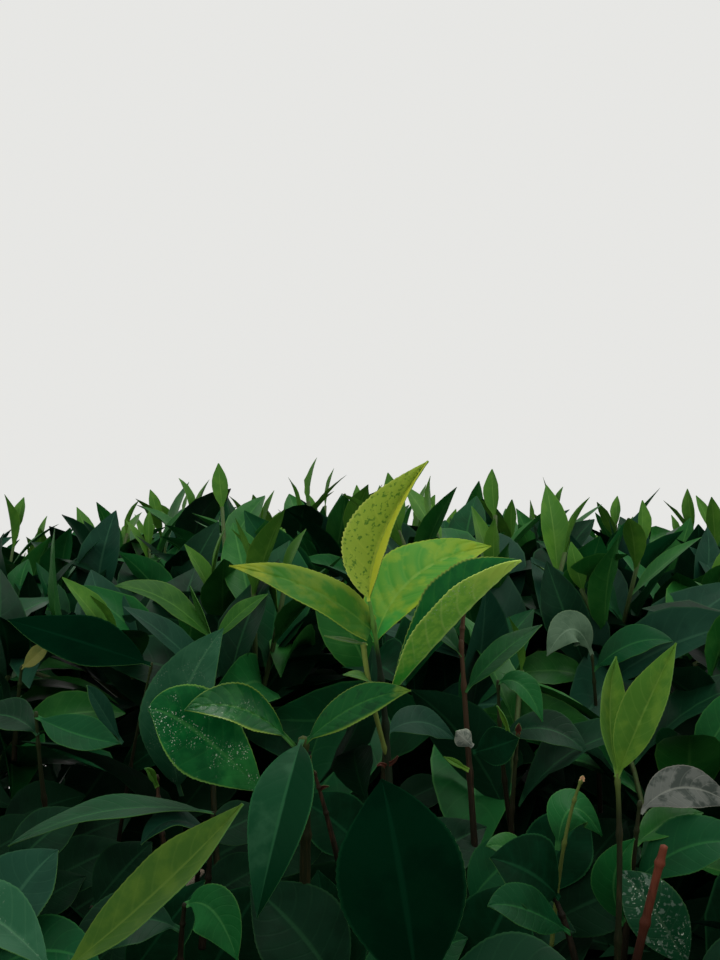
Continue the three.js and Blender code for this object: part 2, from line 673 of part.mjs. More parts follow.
function twigSolid(twig) {
  const along = twig.to.clone().sub(twig.from).normalize();
  const curve = straight(twig.from.clone().addScaledVector(along, -twig.radius), twig.to);
  return limb(curve, taper(twig.radius, TWIG_TIP_RADIUS), TWIG_FACETS);
}

// A leaf of a mass: a folded kite of eight faces, its stalk end sunk in the twig.
function kite(root, along, up, size) {
  const side = along.clone().cross(up).normalize();
  const half = LEAF_HALF_WIDTH * size;
  return shaped(new THREE.OctahedronGeometry(1, 0), (x, y, z) => {
    const reach = x === 0 ? LEAF_WIDEST : (x + 1) / 2;
    return root
      .clone()
      .addScaledVector(along, reach * LEAF_LENGTH * size - LEAF_SUNK)
      .addScaledVector(side, z * half)
      .addScaledVector(up, (y * LEAF_THICKNESS) / 2 + Math.abs(z) * half * LEAF_FOLD);
  });
}

// Points over a leaf: its corners and the middles between them.
function samples(geometry) {
  const at = geometry.attributes.position;
  const corners = Array.from({ length: at.count }, (_, i) => vector(at.getX(i), at.getY(i), at.getZ(i)));
  const middles = corners.flatMap((a, i) => corners.slice(i + 1).map((b) => a.clone().lerp(b, 0.5)));
  return [...corners, ...middles];
}

function isClear(points, margin) {
  return points.every((point) => kept.every((ball) => ball.at.distanceTo(point) > ball.radius + margin));
}

// The leaves near a twig's tip, spiralling up it, each more upright than the one below. One that would leave its
// mass's space or touch a limb or a tall shoot is skipped.
const FIRST_TURN = 75; // degrees from one twig's first leaf to the next twig's
const TURN_START = vector(0.31, 0.95, 0);
const SHRINKING = 0.08; // of each leaf, against the one below it

function leavesOn(twig, index, mass) {
  const along = twig.to.clone().sub(twig.from).normalize();
  const across = along.clone().cross(TURN_START).normalize();
  const leaves = [];
  LEAF_TILT.forEach((tilt, k) => {
    const out = across.clone().applyAxisAngle(along, radians(index * FIRST_TURN + k * LEAF_TURN));
    const way = along.clone().applyAxisAngle(along.clone().cross(out), radians(tilt));
    const up = along.clone().addScaledVector(way, -along.dot(way)).normalize();
    const root = twig.to.clone().addScaledVector(along, (k + 0.5 - LEAVES_ON_TWIG) * LEAF_SPACING);
    const leaf = kite(root, way, up, 1 - SHRINKING * k);
    const points = samples(leaf);
    const inside = points.every((point) => inSpace(mass, point));
    if (inside && isClear(points, LEAF_CLEARANCE)) leaves.push(solid(leaf));
  });
  return leaves;
}

// A leafy twig is left out if its outer part would touch a limb or a tall shoot.
const OUTER_SHARES = [0.4, 0.6, 0.8, 1];

function twigIsClear(twig) {
  const points = OUTER_SHARES.map((share) => twig.from.clone().lerp(twig.to, share));
  return isClear(points, twig.radius);
}

for (const mass of MASSES) {
  const carrier = limbs[mass.place];
  const along = direction(carrier, 1);
  const foot = carrier.getPoint(1).addScaledVector(along, GAP);
  const top = foot.clone().addScaledVector(along, STEM_LENGTH + STEM_SUNK);
  const stem = limb(straight(foot, top), taper(LIMB_RADIUS[1], STEM_TIP_RADIUS), MASS_STEM_FACETS);
  const parts = [coreSolid(mass), stem];
  const twigs = [];
  branches(foot.clone().lerp(top, FIRST_FORK), TWIG_RADIUS, twigTips(mass), twigs);
  twigs.forEach((twig, index) => {
    if (twig.leafy && !twigIsClear(twig)) return;
    parts.push(twigSolid(twig));
    if (twig.leafy) parts.push(...leavesOn(twig, index, mass));
  });
  addPiece(`foliage_${mass.place}`, largest(joined(parts)), oldLeaf);
}

export default bush;
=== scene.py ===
"""A tea bush kept low and broad by plucking, with one tall young shoot above the front of its table."""

import bpy
import numpy as np
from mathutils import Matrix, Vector


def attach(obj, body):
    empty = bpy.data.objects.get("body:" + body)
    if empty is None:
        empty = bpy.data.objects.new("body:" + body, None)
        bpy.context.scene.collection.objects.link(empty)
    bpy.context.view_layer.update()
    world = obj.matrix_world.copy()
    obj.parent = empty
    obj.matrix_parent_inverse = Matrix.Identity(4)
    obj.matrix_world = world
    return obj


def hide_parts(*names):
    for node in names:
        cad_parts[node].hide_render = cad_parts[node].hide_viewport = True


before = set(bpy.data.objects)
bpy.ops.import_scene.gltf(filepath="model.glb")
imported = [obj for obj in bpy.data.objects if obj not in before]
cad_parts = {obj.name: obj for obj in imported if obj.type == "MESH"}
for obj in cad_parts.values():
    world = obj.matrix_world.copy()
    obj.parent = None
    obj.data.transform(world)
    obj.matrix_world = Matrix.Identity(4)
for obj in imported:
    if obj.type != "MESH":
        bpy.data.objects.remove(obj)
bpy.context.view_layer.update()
MM = 0.001  # sizes below are millimetres, as on the bush, and the meshes are metres


# The trunk.
# A short stem of hard grey-brown wood, lobed where the roots leave it and cut flat at the ground. It was
# cut back to a collar years ago, and the boughs grew from the knuckle that healed over the cut.
TRUNK_HEIGHT = 140
TRUNK_RADIUS = 37
TRUNK_DOME = 0.55
TRUNK_LEAN = np.array([14, -8, 0])
LEAN_CURVE = 1.5
ROOT_FLARE = 24
FLARE_HEIGHT = 30
FLARE_LOBES = 5
FLARE_SHARES = (0.68, 0.32)
FLARE_TURN = 0.8
KNUCKLE_SWELL = 9
KNUCKLE_HEIGHT = 112
KNUCKLE_SPAN = 30
BARK_DEPTH = 1.5
BURR_DEPTH = 2.6
CUT_MARGIN = 4  # the relief dies out this near the flat cut
UP = np.array([0, 0, 1.0])


def mix(a, b, share):
    """The value at a share of the way from a to b."""
    return a + (b - a) * share


def bell(t):
    """A bell curve, 1 at nought and e to the minus t squared elsewhere."""
    return np.exp(-(t**2))


def unit(vectors):
    """The vectors along the last axis, each divided by its length."""
    return vectors / np.maximum(np.linalg.norm(vectors, axis=-1, keepdims=True), 1e-9)


def noise(points, seed):
    """Smooth random heights from -1 to 1: a hashed height on each corner of the unit lattice, and between
    the eight corners round a point they are blended by 3t^2 - 2t^3 along each axis."""
    cell = np.floor(points).astype(np.int64)
    part = points - cell
    share = part * part * (3 - 2 * part)
    total = np.zeros(points.shape[:-1])
    for corner in np.ndindex(2, 2, 2):
        at = (cell + corner) * np.array([73856093, 19349663, 83492791])
        hashed = (at[..., 0] ^ at[..., 1] ^ at[..., 2] ^ (seed * 2654435761)) * 1274126177
        height = ((hashed ^ (hashed >> 15)) & 0xFFFF) / 32767.5 - 1
        total += np.prod(np.where(corner, share, 1 - share), axis=-1) * height
    return total


def bark_relief(across, along, seed):
    """Height of the bark over its mean: long ridges, 1 minus twice the size of a noise stretched along the
    limb, and finer noises for cracks and grain. across is a point round the limb, along the way up."""
    ridges = np.concatenate([across / 6.5, along[..., None] / 34], axis=-1)
    cracks = np.concatenate([across / 11, along[..., None] / 5], axis=-1)
    grain = np.concatenate([across / 2.1, along[..., None] / 4.3], axis=-1)
    furrow = 1 - 2 * np.abs(noise(ridges, seed))
    return 0.55 * furrow + 0.3 * noise(cracks, seed + 1) + 0.2 * noise(grain, seed + 2)


def grid_quads(rows, columns, wrap=False):
    """Corner numbers of the quads of a grid of points. wrap joins its last column to its first."""
    i, j = np.meshgrid(np.arange(rows - 1), np.arange(columns if wrap else columns - 1), indexing="ij")
    k = (j + 1) % columns
    low, high = i * columns, (i + 1) * columns
    return np.stack([low + j, low + k, high + k, high + j], axis=-1).reshape(-1, 4)


def end_fans(rows, columns):
    """Corner numbers of the triangles that close a wrapped grid's ends on two points that follow it."""
    j = np.arange(columns)
    k = (j + 1) % columns
    last, foot, tip = (rows - 1) * columns, rows * columns, rows * columns + 1
    return np.concatenate(
        [np.stack([0 * j + foot, k, j], axis=-1), np.stack([0 * j + tip, last + j, last + k], axis=-1)]
    )


def repeated(faces, count, step):
    """The faces of count like shapes, whose points follow each other step by step."""
    offsets = np.arange(count)[:, None, None] * step
    return (faces[None] + offsets).reshape(-1, faces.shape[1])


def make_piece(name, points, faces, materials, nodes, uv=None, under=None):
    """Puts points and faces, arrays of corner numbers, into a mesh that replaces the CAD nodes. uv has a
    place on the leaf for each point. under has a material number for each face."""
    mesh = bpy.data.meshes.new(name)
    corners = np.concatenate([part.ravel() for part in faces]).astype(np.int32)
    sides = np.concatenate([np.full(len(part), part.shape[1]) for part in faces])
    mesh.vertices.add(len(points))
    mesh.vertices.foreach_set("co", (points * MM).astype(np.float32).ravel())
    mesh.loops.add(len(corners))
    mesh.loops.foreach_set("vertex_index", corners)
    mesh.polygons.add(len(sides))
    mesh.polygons.foreach_set("loop_start", (np.cumsum(sides) - sides).astype(np.int32))
    mesh.polygons.foreach_set("use_smooth", np.ones(len(sides), bool))
    if under is not None:
        mesh.polygons.foreach_set("material_index", under.astype(np.int32))
    if uv is not None:
        layer = mesh.uv_layers.new(name="blade")
        layer.data.foreach_set("uv", uv[corners].astype(np.float32).ravel())
    mesh.update(calc_edges=True)
    for material in materials:
        mesh.materials.append(material)
    piece = bpy.data.objects.new(name, mesh)
    bpy.context.scene.collection.objects.link(piece)
    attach(piece, "root")
    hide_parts(*nodes)
    return piece


def node(tree, kind, settings, *inputs):
    """A shader node with its settings and its first inputs, each a socket to link, a value, or None."""
    made = tree.nodes.new("ShaderNode" + kind)
    for name, value in settings.items():
        setattr(made, name, value)
    for socket, value in zip(made.inputs, inputs):
        if isinstance(value, bpy.types.NodeSocket):
            tree.links.new(value, socket)
        elif value is not None:
            socket.default_value = value
    return made.outputs[0]


def maths(tree, operation, *inputs):
    """A number worked out from up to three others."""
    return node(tree, "Math", {"operation": operation}, *inputs)


def ramp(tree, value, low, high, start=0.0, end=1.0):
    """start where value is at low or under, end where it is at high or over, and smooth between."""
    return node(tree, "MapRange", {"interpolation_type": "SMOOTHSTEP"}, value, low, high, start, end)


def blend(tree, share, under, over):
    """The colour under, with a share of the colour over laid on it. Numbers are in thousandths."""
    made = tree.nodes.new("ShaderNodeMix")
    made.data_type = "RGBA"
    for socket, value in zip((made.inputs[0], made.inputs[6], made.inputs[7]), (share, under, over)):
        if isinstance(value, bpy.types.NodeSocket):
            tree.links.new(value, socket)
        else:
            socket.default_value = (*(part / 1000 for part in value), 1)
    return made.outputs[2]


def new_material(name, roughness, shine=0.25):
    """A material, its node tree and its Principled shader. A shine of 0.5 is a plain surface's gloss."""
    made = bpy.data.materials.new(name)
    made.use_nodes = True
    shader = made.node_tree.nodes["Principled BSDF"]
    shader.inputs["Roughness"].default_value = roughness
    shader.inputs["Specular IOR Level"].default_value = shine
    return made, made.node_tree, shader


def spots(tree, place, size, low, high, seed, detail=2.0):
    """A mask from a noise of a size in millimetres: 0 where it is under low, 1 where it is over high."""
    moved = node(tree, "VectorMath", {"operation": "ADD"}, place, (seed * 1.7, seed * 2.3, seed * 3.1))
    field = node(tree, "TexNoise", {}, moved, None, 1 / (size * MM), detail, 0.55)
    return ramp(tree, field, low, high)


def object_place(tree):
    """The place in the piece, in metres."""
    return tree.nodes.new("ShaderNodeTexCoord").outputs["Object"]


def bump(tree, shader, height, strength, depth):
    """Roughens the shader's surface by a height from 0 to 1, with a depth in millimetres."""
    made = tree.nodes.new("ShaderNodeBump")
    made.inputs["Strength"].default_value = strength
    made.inputs["Distance"].default_value = depth * MM
    tree.links.new(height, made.inputs["Height"])
    tree.links.new(made.outputs[0], shader.inputs["Normal"])


def bark_material(name, ridge, furrow, lichen, lichen_share):
    """Grey-brown bark: furrows darker than ridges, stains, pale lichen in patches, and fine grain."""
    made, tree, shader = new_material(name, 0.9)
    place = object_place(tree)
    stretched = node(tree, "VectorMath", {"operation": "MULTIPLY"}, place, (1.0, 1.0, 0.22))
    grain = spots(tree, stretched, 5, 0.35, 0.65, 1, 6.0)
    colour = blend(tree, grain, furrow, ridge)
    stains = maths(tree, "MULTIPLY", spots(tree, place, 30, 0.52, 0.62, 2, 4.0), 0.45)
    colour = blend(tree, stains, colour, furrow)
    crust = maths(tree, "MULTIPLY", spots(tree, place, 17, 0.56, 0.6, 3, 5.0), lichen_share)
    colour = blend(tree, crust, colour, lichen)
    tree.links.new(colour, shader.inputs["Base Color"])
    fine = node(tree, "TexNoise", {}, stretched, None, 1 / (1.6 * MM), 5.0, 0.6)
    bump(tree, shader, fine, 0.5, 0.6)
    return made


bark = bark_material("bark", (155, 125, 98), (42, 32, 24), (300, 310, 250), 0.6)


def trunk_axis(height):
    """The trunk's middle: it leans by the height's share to the power of the curve."""
    share = (np.asarray(height, float) / TRUNK_HEIGHT) ** LEAN_CURVE
    return share[..., None] * TRUNK_LEAN + np.asarray(height, float)[..., None] * UP


def trunk_radius(height, angle):
    """Radius of the trunk: a column, a lobed root flare that dies out upward, a knuckle and a dome."""
    lobes = FLARE_SHARES[0] + FLARE_SHARES[1] * np.cos(FLARE_LOBES * angle + FLARE_TURN)
    flare = ROOT_FLARE * np.exp(-height / FLARE_HEIGHT) * lobes
    knuckle = KNUCKLE_SWELL * bell((height - KNUCKLE_HEIGHT) / KNUCKLE_SPAN)
    dome = np.maximum(0, (height - KNUCKLE_HEIGHT) / (TRUNK_HEIGHT - KNUCKLE_HEIGHT))
    return (TRUNK_RADIUS + flare + knuckle) * (1 - TRUNK_DOME * dome**2)


TRUNK_RINGS = 110
TRUNK_SIDES = 120
height, angle = np.meshgrid(
    np.linspace(0, TRUNK_HEIGHT, TRUNK_RINGS), np.linspace(0, 2 * np.pi, TRUNK_SIDES, False), indexing="ij"
)
round_trunk = np.stack([np.cos(angle), np.sin(angle), 0 * angle], axis=-1)
ring = trunk_radius(height, angle)
relief = BARK_DEPTH * bark_relief(round_trunk[..., :2] * TRUNK_RADIUS, height, 11)
burr_at = np.concatenate([round_trunk[..., :2] * 1.7, height[..., None] / 24], axis=-1)
burr = BURR_DEPTH * np.maximum(0, noise(burr_at, 15))
settled = np.minimum(1, height / CUT_MARGIN)
points = trunk_axis(height) + round_trunk * (ring + (relief + burr) * settled)[..., None]
ends = [[0, 0, 0], trunk_axis(TRUNK_HEIGHT) + 3 * UP]
make_piece(
    "trunk_bark",
    np.concatenate([points.reshape(-1, 3), ends]),
    [grid_quads(TRUNK_RINGS, TRUNK_SIDES, True), end_fans(TRUNK_RINGS, TRUNK_SIDES)],
    [bark],
    ["trunk"],
)


# The boughs and limbs.
# Three boughs rise from the knuckle and fork, a thin leader goes up between them, and a limb runs from a
# fork to each mass of foliage. All are of the trunk's wood, with younger and smoother bark.
TABLE_TOP = 795
TABLE_FALL = 95
TABLE_CURVE = 1.7
SHOULDER = 640
CROWN_RADIUS = 700
MIDDLE_RADIUS = 240
CORE_DEPTH = 52
CORE_THICKNESS = 125
CORE_THICKENING = 0.15
BOUGH_FOOT = 96
BOUGH_RADIUS = (21, 15.5)
FORK_SWELL = 2.6
FORK_SWELL_AT = 0.96
FORK_SWELL_SPAN = 0.09
LEADER_RADIUS = (16, 7)
LEADER_BEND = np.array([-14, 16, 330])
LIMB_RADIUS = (12, 6.5)
LIMB_END = 425
STEM_LENGTH = 26
BOUGH_BEND = (0.72, 0.36)
LIMB_BEND = (0.85, 0.3)
LIMB_TURN = 0.7
FORK_OVERLAP = 6
ROUND_MASSES = {  # degrees of the full turn, and share of the shoulder's distance from the trunk
    "front": (54, 1.0),
    "front_right": (50, 0.96),
    "right": (49, 1.0),
    "back_right": (53, 0.94),
    "back_left": (51, 0.99),
    "left": (50, 0.95),
    "front_left": (53, 0.98),
}
FRONT = 270
BOUGHS = {  # angle, reach and rise of its fork, and the masses that it serves
    "front": (296, 175, 322, ("front", "front_right")),
    "right": (42, 180, 335, ("right", "back_right")),
    "left": (166, 165, 300, ("back_left", "left", "front_left")),
}


def polar(radius, angle, height):
    """A point from its distance, its angle in degrees and its height."""
    turned = np.radians(angle)
    return np.stack(np.broadcast_arrays(radius * np.cos(turned), radius * np.sin(turned), height), axis=-1)


def turn_between(start, end):
    """The turn from one angle to another, at most half a turn either way."""
    return (end - start + 180) % 360 - 180


def table_height(radius):
    """Height of the plucked table: it falls by a power of the distance from the trunk."""
    return TABLE_TOP - TABLE_FALL * (radius / SHOULDER) ** TABLE_CURVE


def mass_foot(radius):
    """Height at which a mass's stem starts, a stem's length under the underside of the core of foliage."""
    return table_height(radius) - CORE_DEPTH - CORE_THICKNESS - CORE_THICKENING * radius - STEM_LENGTH


def bow(start, bend, end, t):
    """Points of a bowed line: start, bend and end weighed by (1-t)^2, 2t(1-t) and t^2."""
    t = np.asarray(t)[..., None]
    return (1 - t) ** 2 * start + 2 * t * (1 - t) * bend + t**2 * end


def tubes(centres, radii, sides, relief=None):
    """Round skins along many lines: a ring of points, square to the line, round each centre, and a point at
    each end. centres are lines by rings by three. relief gives a height from the place round and along."""
    along = unit(np.gradient(centres, axis=1))
    chord = np.abs(centres[:, -1] - centres[:, 0])
    axis = np.eye(3)[np.argmin(chord, axis=-1)][:, None, :]
    side = unit(np.cross(along, axis))
    up = np.cross(along, side)
    angle = np.linspace(0, 2 * np.pi, sides, False)
    around = np.cos(angle)[:, None] * side[:, :, None, :] + np.sin(angle)[:, None] * up[:, :, None, :]
    reach = np.repeat(radii[:, :, None], sides, axis=2)
    if relief is not None:
        steps = np.linalg.norm(np.diff(centres, axis=1, prepend=centres[:, :1]), axis=-1)
        way = np.repeat(np.cumsum(steps, axis=1)[:, :, None], sides, axis=2)
        flat = np.stack([reach * np.cos(angle), reach * np.sin(angle)], axis=-1)
        reach = reach + relief(flat, way)
    rings = centres[:, :, None, :] + around * reach[..., None]
    foot = centres[:, :1] - along[:, :1] * radii[:, :1, None] * 0.5
    tip = centres[:, -1:] + along[:, -1:] * radii[:, -1:, None] * 0.5
    lines = len(centres)
    return np.concatenate([rings.reshape(lines, -1, 3), foot, tip], axis=1).reshape(-1, 3)


def tube_faces(lines, rings, sides):
    """Faces of the skins that tubes makes."""
    step = rings * sides + 2
    quads = repeated(grid_quads(rings, sides, True), lines, step)
    return [quads, repeated(end_fans(rings, sides), lines, step)]


LIMB_RINGS = 100
LIMB_SIDES = 36
WANDER = 0.05  # share by which a stem's radius varies along it
BALL_MARGIN = 3
LIMB_BARK_DEPTH = 0.7
kept_balls = []  # places along the limbs and stems that leaves keep clear of, with their radii


def add_limb(node_name, start, bend, end, radii, swell, depth, seed):
    """A limb along its bowed line, tapering from radii[0] to radii[1], with a swelling at its fork and bark
    of a given depth."""
    t = np.linspace(0, 1, LIMB_RINGS)
    centres = bow(start, bend, end, t)
    radius = mix(radii[0], radii[1], t) + swell * bell((t - FORK_SWELL_AT) / FORK_SWELL_SPAN)
    wander = noise(np.stack([t * 9, 0 * t, 0 * t + seed], axis=-1), seed)
    radius = radius * (1 + WANDER * wander)

    def relief(across, along):
        return depth * bark_relief(across, along, seed)

    points = tubes(centres[None], radius[None], LIMB_SIDES, relief)
    make_piece(
        node_name + "_bark", points, tube_faces(1, LIMB_RINGS, LIMB_SIDES), [bark], [node_name]
    )
    kept_balls.extend(np.column_stack([centres[::3], radius[::3] + BALL_MARGIN]))


masses = {}
edge = FRONT - ROUND_MASSES["front"][0] / 2
for place, (turn, share) in ROUND_MASSES.items():
    masses[place] = {
        "angle": edge + turn / 2,
        "half": turn / 2,
        "inner": MIDDLE_RADIUS,
        "shoulder": SHOULDER * share,
    }
    edge += turn
masses["middle"] = {"angle": 0, "half": 180, "inner": 0, "shoulder": MIDDLE_RADIUS}

for seed, (place, (angle, reach, rise, served)) in enumerate(BOUGHS.items()):
    foot = trunk_axis(BOUGH_FOOT) + polar(TRUNK_RADIUS / 5, angle, 0)
    fork = polar(reach, angle, rise)
    bend = polar(reach * BOUGH_BEND[0], angle, mix(foot[2], rise, BOUGH_BEND[1]))
    add_limb(f"bough_{place}", foot, bend, fork, BOUGH_RADIUS, FORK_SWELL, 1.0, 20 + seed)
    start = fork - FORK_OVERLAP * unit(fork - bend)
    for number, name in enumerate(served):
        mass = masses[name]
        end = polar(LIMB_END, mass["angle"], mass_foot(LIMB_END))
        turned = angle + LIMB_TURN * turn_between(angle, mass["angle"])
        knee = polar(mix(reach, LIMB_END, LIMB_BEND[0]), turned, mix(start[2], end[2], LIMB_BEND[1]))
        add_limb(f"limb_{name}", start, knee, end, LIMB_RADIUS, 0, LIMB_BARK_DEPTH, 30 + 3 * seed + number)
        mass["foot"] = end
        mass["along"] = unit(end - knee)
leader_end = np.array([18, 10, mass_foot(0)])
leader_foot = trunk_axis(KNUCKLE_HEIGHT)
add_limb("leader", leader_foot, LEADER_BEND, leader_end, LEADER_RADIUS, 0, LIMB_BARK_DEPTH, 45)
masses["middle"].update(foot=leader_end, along=unit(leader_end - LEADER_BEND))


# The tall shoot.
# One shoot that the last plucking missed: a green stem with four thin young leaves, two scale leaves and a
# thin side twig. The leaves are toothed, folded along the midrib and grow from the stem's joints.
SHOOT = np.array([0, -340, 805])  # its upper leaf joint, from which sizes below run right, back and up
STALK_HALF_WIDTH = 0.9
TIP_HALF_WIDTH = 0.3
FULLNESS = (0.92, 0.95)
VEIN_SLANT = 0.17
VEIN_CURVE = 1.4
SIDE_VEINS = 9
VEIN_GROOVE = (0.6, 0.16)  # share of the relief, and span between the veins
MIDRIB_GROOVE = (0.8, 0.06)


def of_leaf(leaves, name, otherwise):
    """A quality of each leaf as a column, to be worked with along and across the blades."""
    value = leaves.get(name)
    if value is None:
        value = np.full(len(leaves["start"]), otherwise, float)
    return np.asarray(value, float)[:, None, None]


def blade_points(leaves, rows, columns, thickness=0.0):
    """Points of many leaf blades at once, from arrays with one row for each leaf. The midrib is a bowed
    line from start through middle to tip. Half the blade's width is half times sin(pi a^0.92)^0.95, with a
    from 0 at the stalk's end to 1 at the tip, and teeth notch it. Each half is an arc in its cross-section:
    it leaves the midrib at the angle fold and turns by curl on its way to the margin. ripple waves the
    margin, twist turns the blade on its way to the tip, and relief is how deep the veins lie."""
    t = np.linspace(0, 1, rows + 1)[None, :, None]
    v = np.linspace(-1, 1, columns + 1)[None, None, :]
    start, middle, tip = (np.asarray(leaves[name], float)[:, None] for name in ("start", "middle", "tip"))
    bend = 2 * middle - (start + tip) / 2
    rib = bow(start, bend, tip, t[0, :, 0])
    along = unit(mix(bend - start, tip - bend, t[0]))
    side = unit(np.cross(along, np.asarray(leaves["face"], float)[:, None]))
    up = np.cross(side, along)
    turn = np.radians(of_leaf(leaves, "twist", 0) * t)
    side, up = np.cos(turn) * side + np.sin(turn) * up, np.cos(turn) * up - np.sin(turn) * side
    stalk = of_leaf(leaves, "stalk", 0.06)
    share = (t - stalk) / (1 - stalk)
    a = np.clip(share, 0, 1)
    off = np.abs(v)
    half = np.where(v < 0, of_leaf(leaves, "left_half", 0), of_leaf(leaves, "right_half", 0))
    saw = (a * of_leaf(leaves, "teeth", 0)) % 1 - 0.5
    width = half * np.sin(np.pi * a ** FULLNESS[0]) ** FULLNESS[1]
    width = width * (1 + of_leaf(leaves, "bite", 0) * saw * off**6)
    width = np.maximum(width, mix(STALK_HALF_WIDTH, TIP_HALF_WIDTH, a))
    fold = np.radians(mix(of_leaf(leaves, "fold", 10), of_leaf(leaves, "fold_tip", 10), t))
    curl = np.where(v < 0, of_leaf(leaves, "left_curl", 0), of_leaf(leaves, "right_curl", 0))
    curl = np.where(np.abs(curl) < 0.1, 0.1, curl)
    end = fold + np.radians(curl) * off
    reach = width / np.radians(curl)
    across = np.sign(v) * reach * (np.sin(end) - np.sin(fold))
    rise = reach * (np.cos(fold) - np.cos(end))
    wave = np.sin(2 * np.pi * of_leaf(leaves, "waves", 2) * a + of_leaf(leaves, "phase", 0) + 1.9 * (v > 0))
    rise = rise + of_leaf(leaves, "ripple", 0) * width * off**2 * wave
    veins = (a - VEIN_SLANT * off**VEIN_CURVE) * SIDE_VEINS + 0.5 * (v > 0)
    groove = VEIN_GROOVE[0] * bell((veins - np.round(veins)) / VEIN_GROOVE[1]) * (1 - off**6)
    groove = groove + MIDRIB_GROOVE[0] * bell(v / MIDRIB_GROOVE[1])
    sunk = of_leaf(leaves, "relief", 0) * groove * np.minimum(1, 4 * a)
    lean = np.where(off > 0, end, 0)
    surfaces = []
    for lift in ((thickness / 2, -thickness / 2) if thickness else (0,)):
        height = lift * (1 - 0.6 * off**8) - sunk
        sideways = across - np.sign(v) * height * np.sin(lean)
        upward = rise + height * np.cos(lean)
        surfaces.append(
            rib[:, :, None] + side[:, :, None] * sideways[..., None] + up[:, :, None] * upward[..., None]
        )
    places = np.stack(np.broadcast_arrays(share, 0.5 + v / 2), axis=-1)
    places = np.broadcast_to(places, (len(start), rows + 1, columns + 1, 2))
    return surfaces, places


def closed_blade_faces(rows, columns):
    """Faces of a blade with two skins, upper then lower, and their materials: 0 above, 1 elsewhere."""
    top = grid_quads(rows + 1, columns + 1)
    count = (rows + 1) * (columns + 1)
    i = np.arange(rows) * (columns + 1)
    j = np.arange(columns)
    left = np.stack([i, i + columns + 1, i + columns + 1 + count, i + count], axis=-1)
    right = left[:, [0, 3, 2, 1]] + columns
    foot = np.stack([j, j + count, j + 1 + count, j + 1], axis=-1)
    tip = foot[:, [0, 3, 2, 1]] + rows * (columns + 1)
    rim = np.concatenate([left, right, foot, tip])
    faces = np.concatenate([top, top[:, ::-1] + count, rim])
    return faces, (np.arange(len(faces)) >= len(top)).astype(int)


DUST = (450, 500, 400)
skins = {}


def add_skin(
    name, body, patch, rib, margin, size=4.0, cover=(0.45, 0.65), vein=0.3, band=0.0, edge=None, parts=(),
    specks=0.0, rough=0.45, shine=0.1, through=0.0, relief=0.0,
):
    """A leaf's material, kept in skins by the name before _leaf: patches on the body colour, bands between
    the side veins, pale veins and midrib, a pale margin, an edge or parts along the blade of another
    colour, dust as pale specks that gather at the midrib, and light through a thin blade. The veins follow
    the place on the blade: they leave the midrib at even steps and slant to the tip."""
    made, tree, shader = new_material(name, rough, shine)
    blade = tree.nodes.new("ShaderNodeUVMap")
    blade.uv_map = "blade"
    split = tree.nodes.new("ShaderNodeSeparateXYZ")
    tree.links.new(blade.outputs[0], split.inputs[0])
    along = split.outputs[0]
    across = maths(tree, "MULTIPLY_ADD", split.outputs[1], 2.0, -1.0)
    off = maths(tree, "ABSOLUTE", across)
    slant = maths(tree, "MULTIPLY", maths(tree, "POWER", off, VEIN_CURVE), VEIN_SLANT)
    even = maths(tree, "MULTIPLY", maths(tree, "SUBTRACT", along, slant), float(SIDE_VEINS))
    other = maths(tree, "MULTIPLY", maths(tree, "GREATER_THAN", across, 0.0), 0.5)
    near = maths(tree, "PINGPONG", maths(tree, "ADD", even, other), 0.5)
    side_vein = ramp(tree, near, 0.02, 0.1, 1.0, 0.0)
    midrib = ramp(tree, off, 0.02, 0.075, 1.0, 0.0)
    place = object_place(tree)
    colour = blend(tree, spots(tree, place, size, *cover, 1, 4.0), body, patch)
    if band:
        between = maths(tree, "MULTIPLY", ramp(tree, near, 0.1, 0.42), ramp(tree, off, 0.1, 0.5, 1.0, 0.35))
        colour = blend(tree, maths(tree, "MULTIPLY", between, band), colour, margin)
    colour = blend(tree, maths(tree, "MULTIPLY", side_vein, vein), colour, rib)
    if edge:
        which, low, high, tint = edge
        mask = ramp(tree, maths(tree, "MULTIPLY", across, which), low, high)
        colour = blend(tree, mask, colour, tint)
    for low, high, tint in parts:
        ragged = maths(tree, "MULTIPLY_ADD", spots(tree, place, 6, 0.3, 0.7, 5), 0.16, -0.08)
        colour = blend(tree, ramp(tree, maths(tree, "ADD", along, ragged), low, high), colour, tint)
    if specks:
        dust = maths(tree, "MULTIPLY", spots(tree, place, 0.55, 0.62, 0.72, 7, 1.0), specks)
        where = spots(tree, place, 9, 0.5, 0.65, 8, 2.0)
        where = maths(tree, "MAXIMUM", where, ramp(tree, off, 0.05, 0.22, 1.0, 0.0))
        colour = blend(tree, maths(tree, "MULTIPLY", dust, where), colour, DUST)
    colour = blend(tree, maths(tree, "MULTIPLY", midrib, 0.75), colour, rib)
    colour = blend(tree, maths(tree, "MULTIPLY", ramp(tree, off, 0.93, 0.99), 0.7), colour, margin)
    colour = blend(tree, ramp(tree, along, -0.03, 0.02, 1.0, 0.0), colour, rib)
    tree.links.new(colour, shader.inputs["Base Color"])
    fine = node(tree, "TexNoise", {}, place, None, 1 / (0.9 * MM), 3.0, 0.5)
    sunk = maths(tree, "MULTIPLY", maths(tree, "ADD", side_vein, midrib), -relief)
    bump(tree, shader, maths(tree, "MULTIPLY_ADD", fine, 0.12, sunk), 0.35, 0.5)
    if through:
        out = tree.nodes["Material Output"]
        behind = tree.nodes.new("ShaderNodeBsdfTranslucent")
        tree.links.new(colour, behind.inputs["Color"])
        both = node(tree, "MixShader", {}, through, shader.outputs[0], behind.outputs[0])
        tree.links.new(both, out.inputs["Surface"])
    skins[name.removesuffix("_leaf")] = made


FINE_BLADE = (120, 26)
BLADE_THICKNESS = 0.45
SHARP_FROM = 60
shown_points = []  # places on the leaves that stand in plain sight


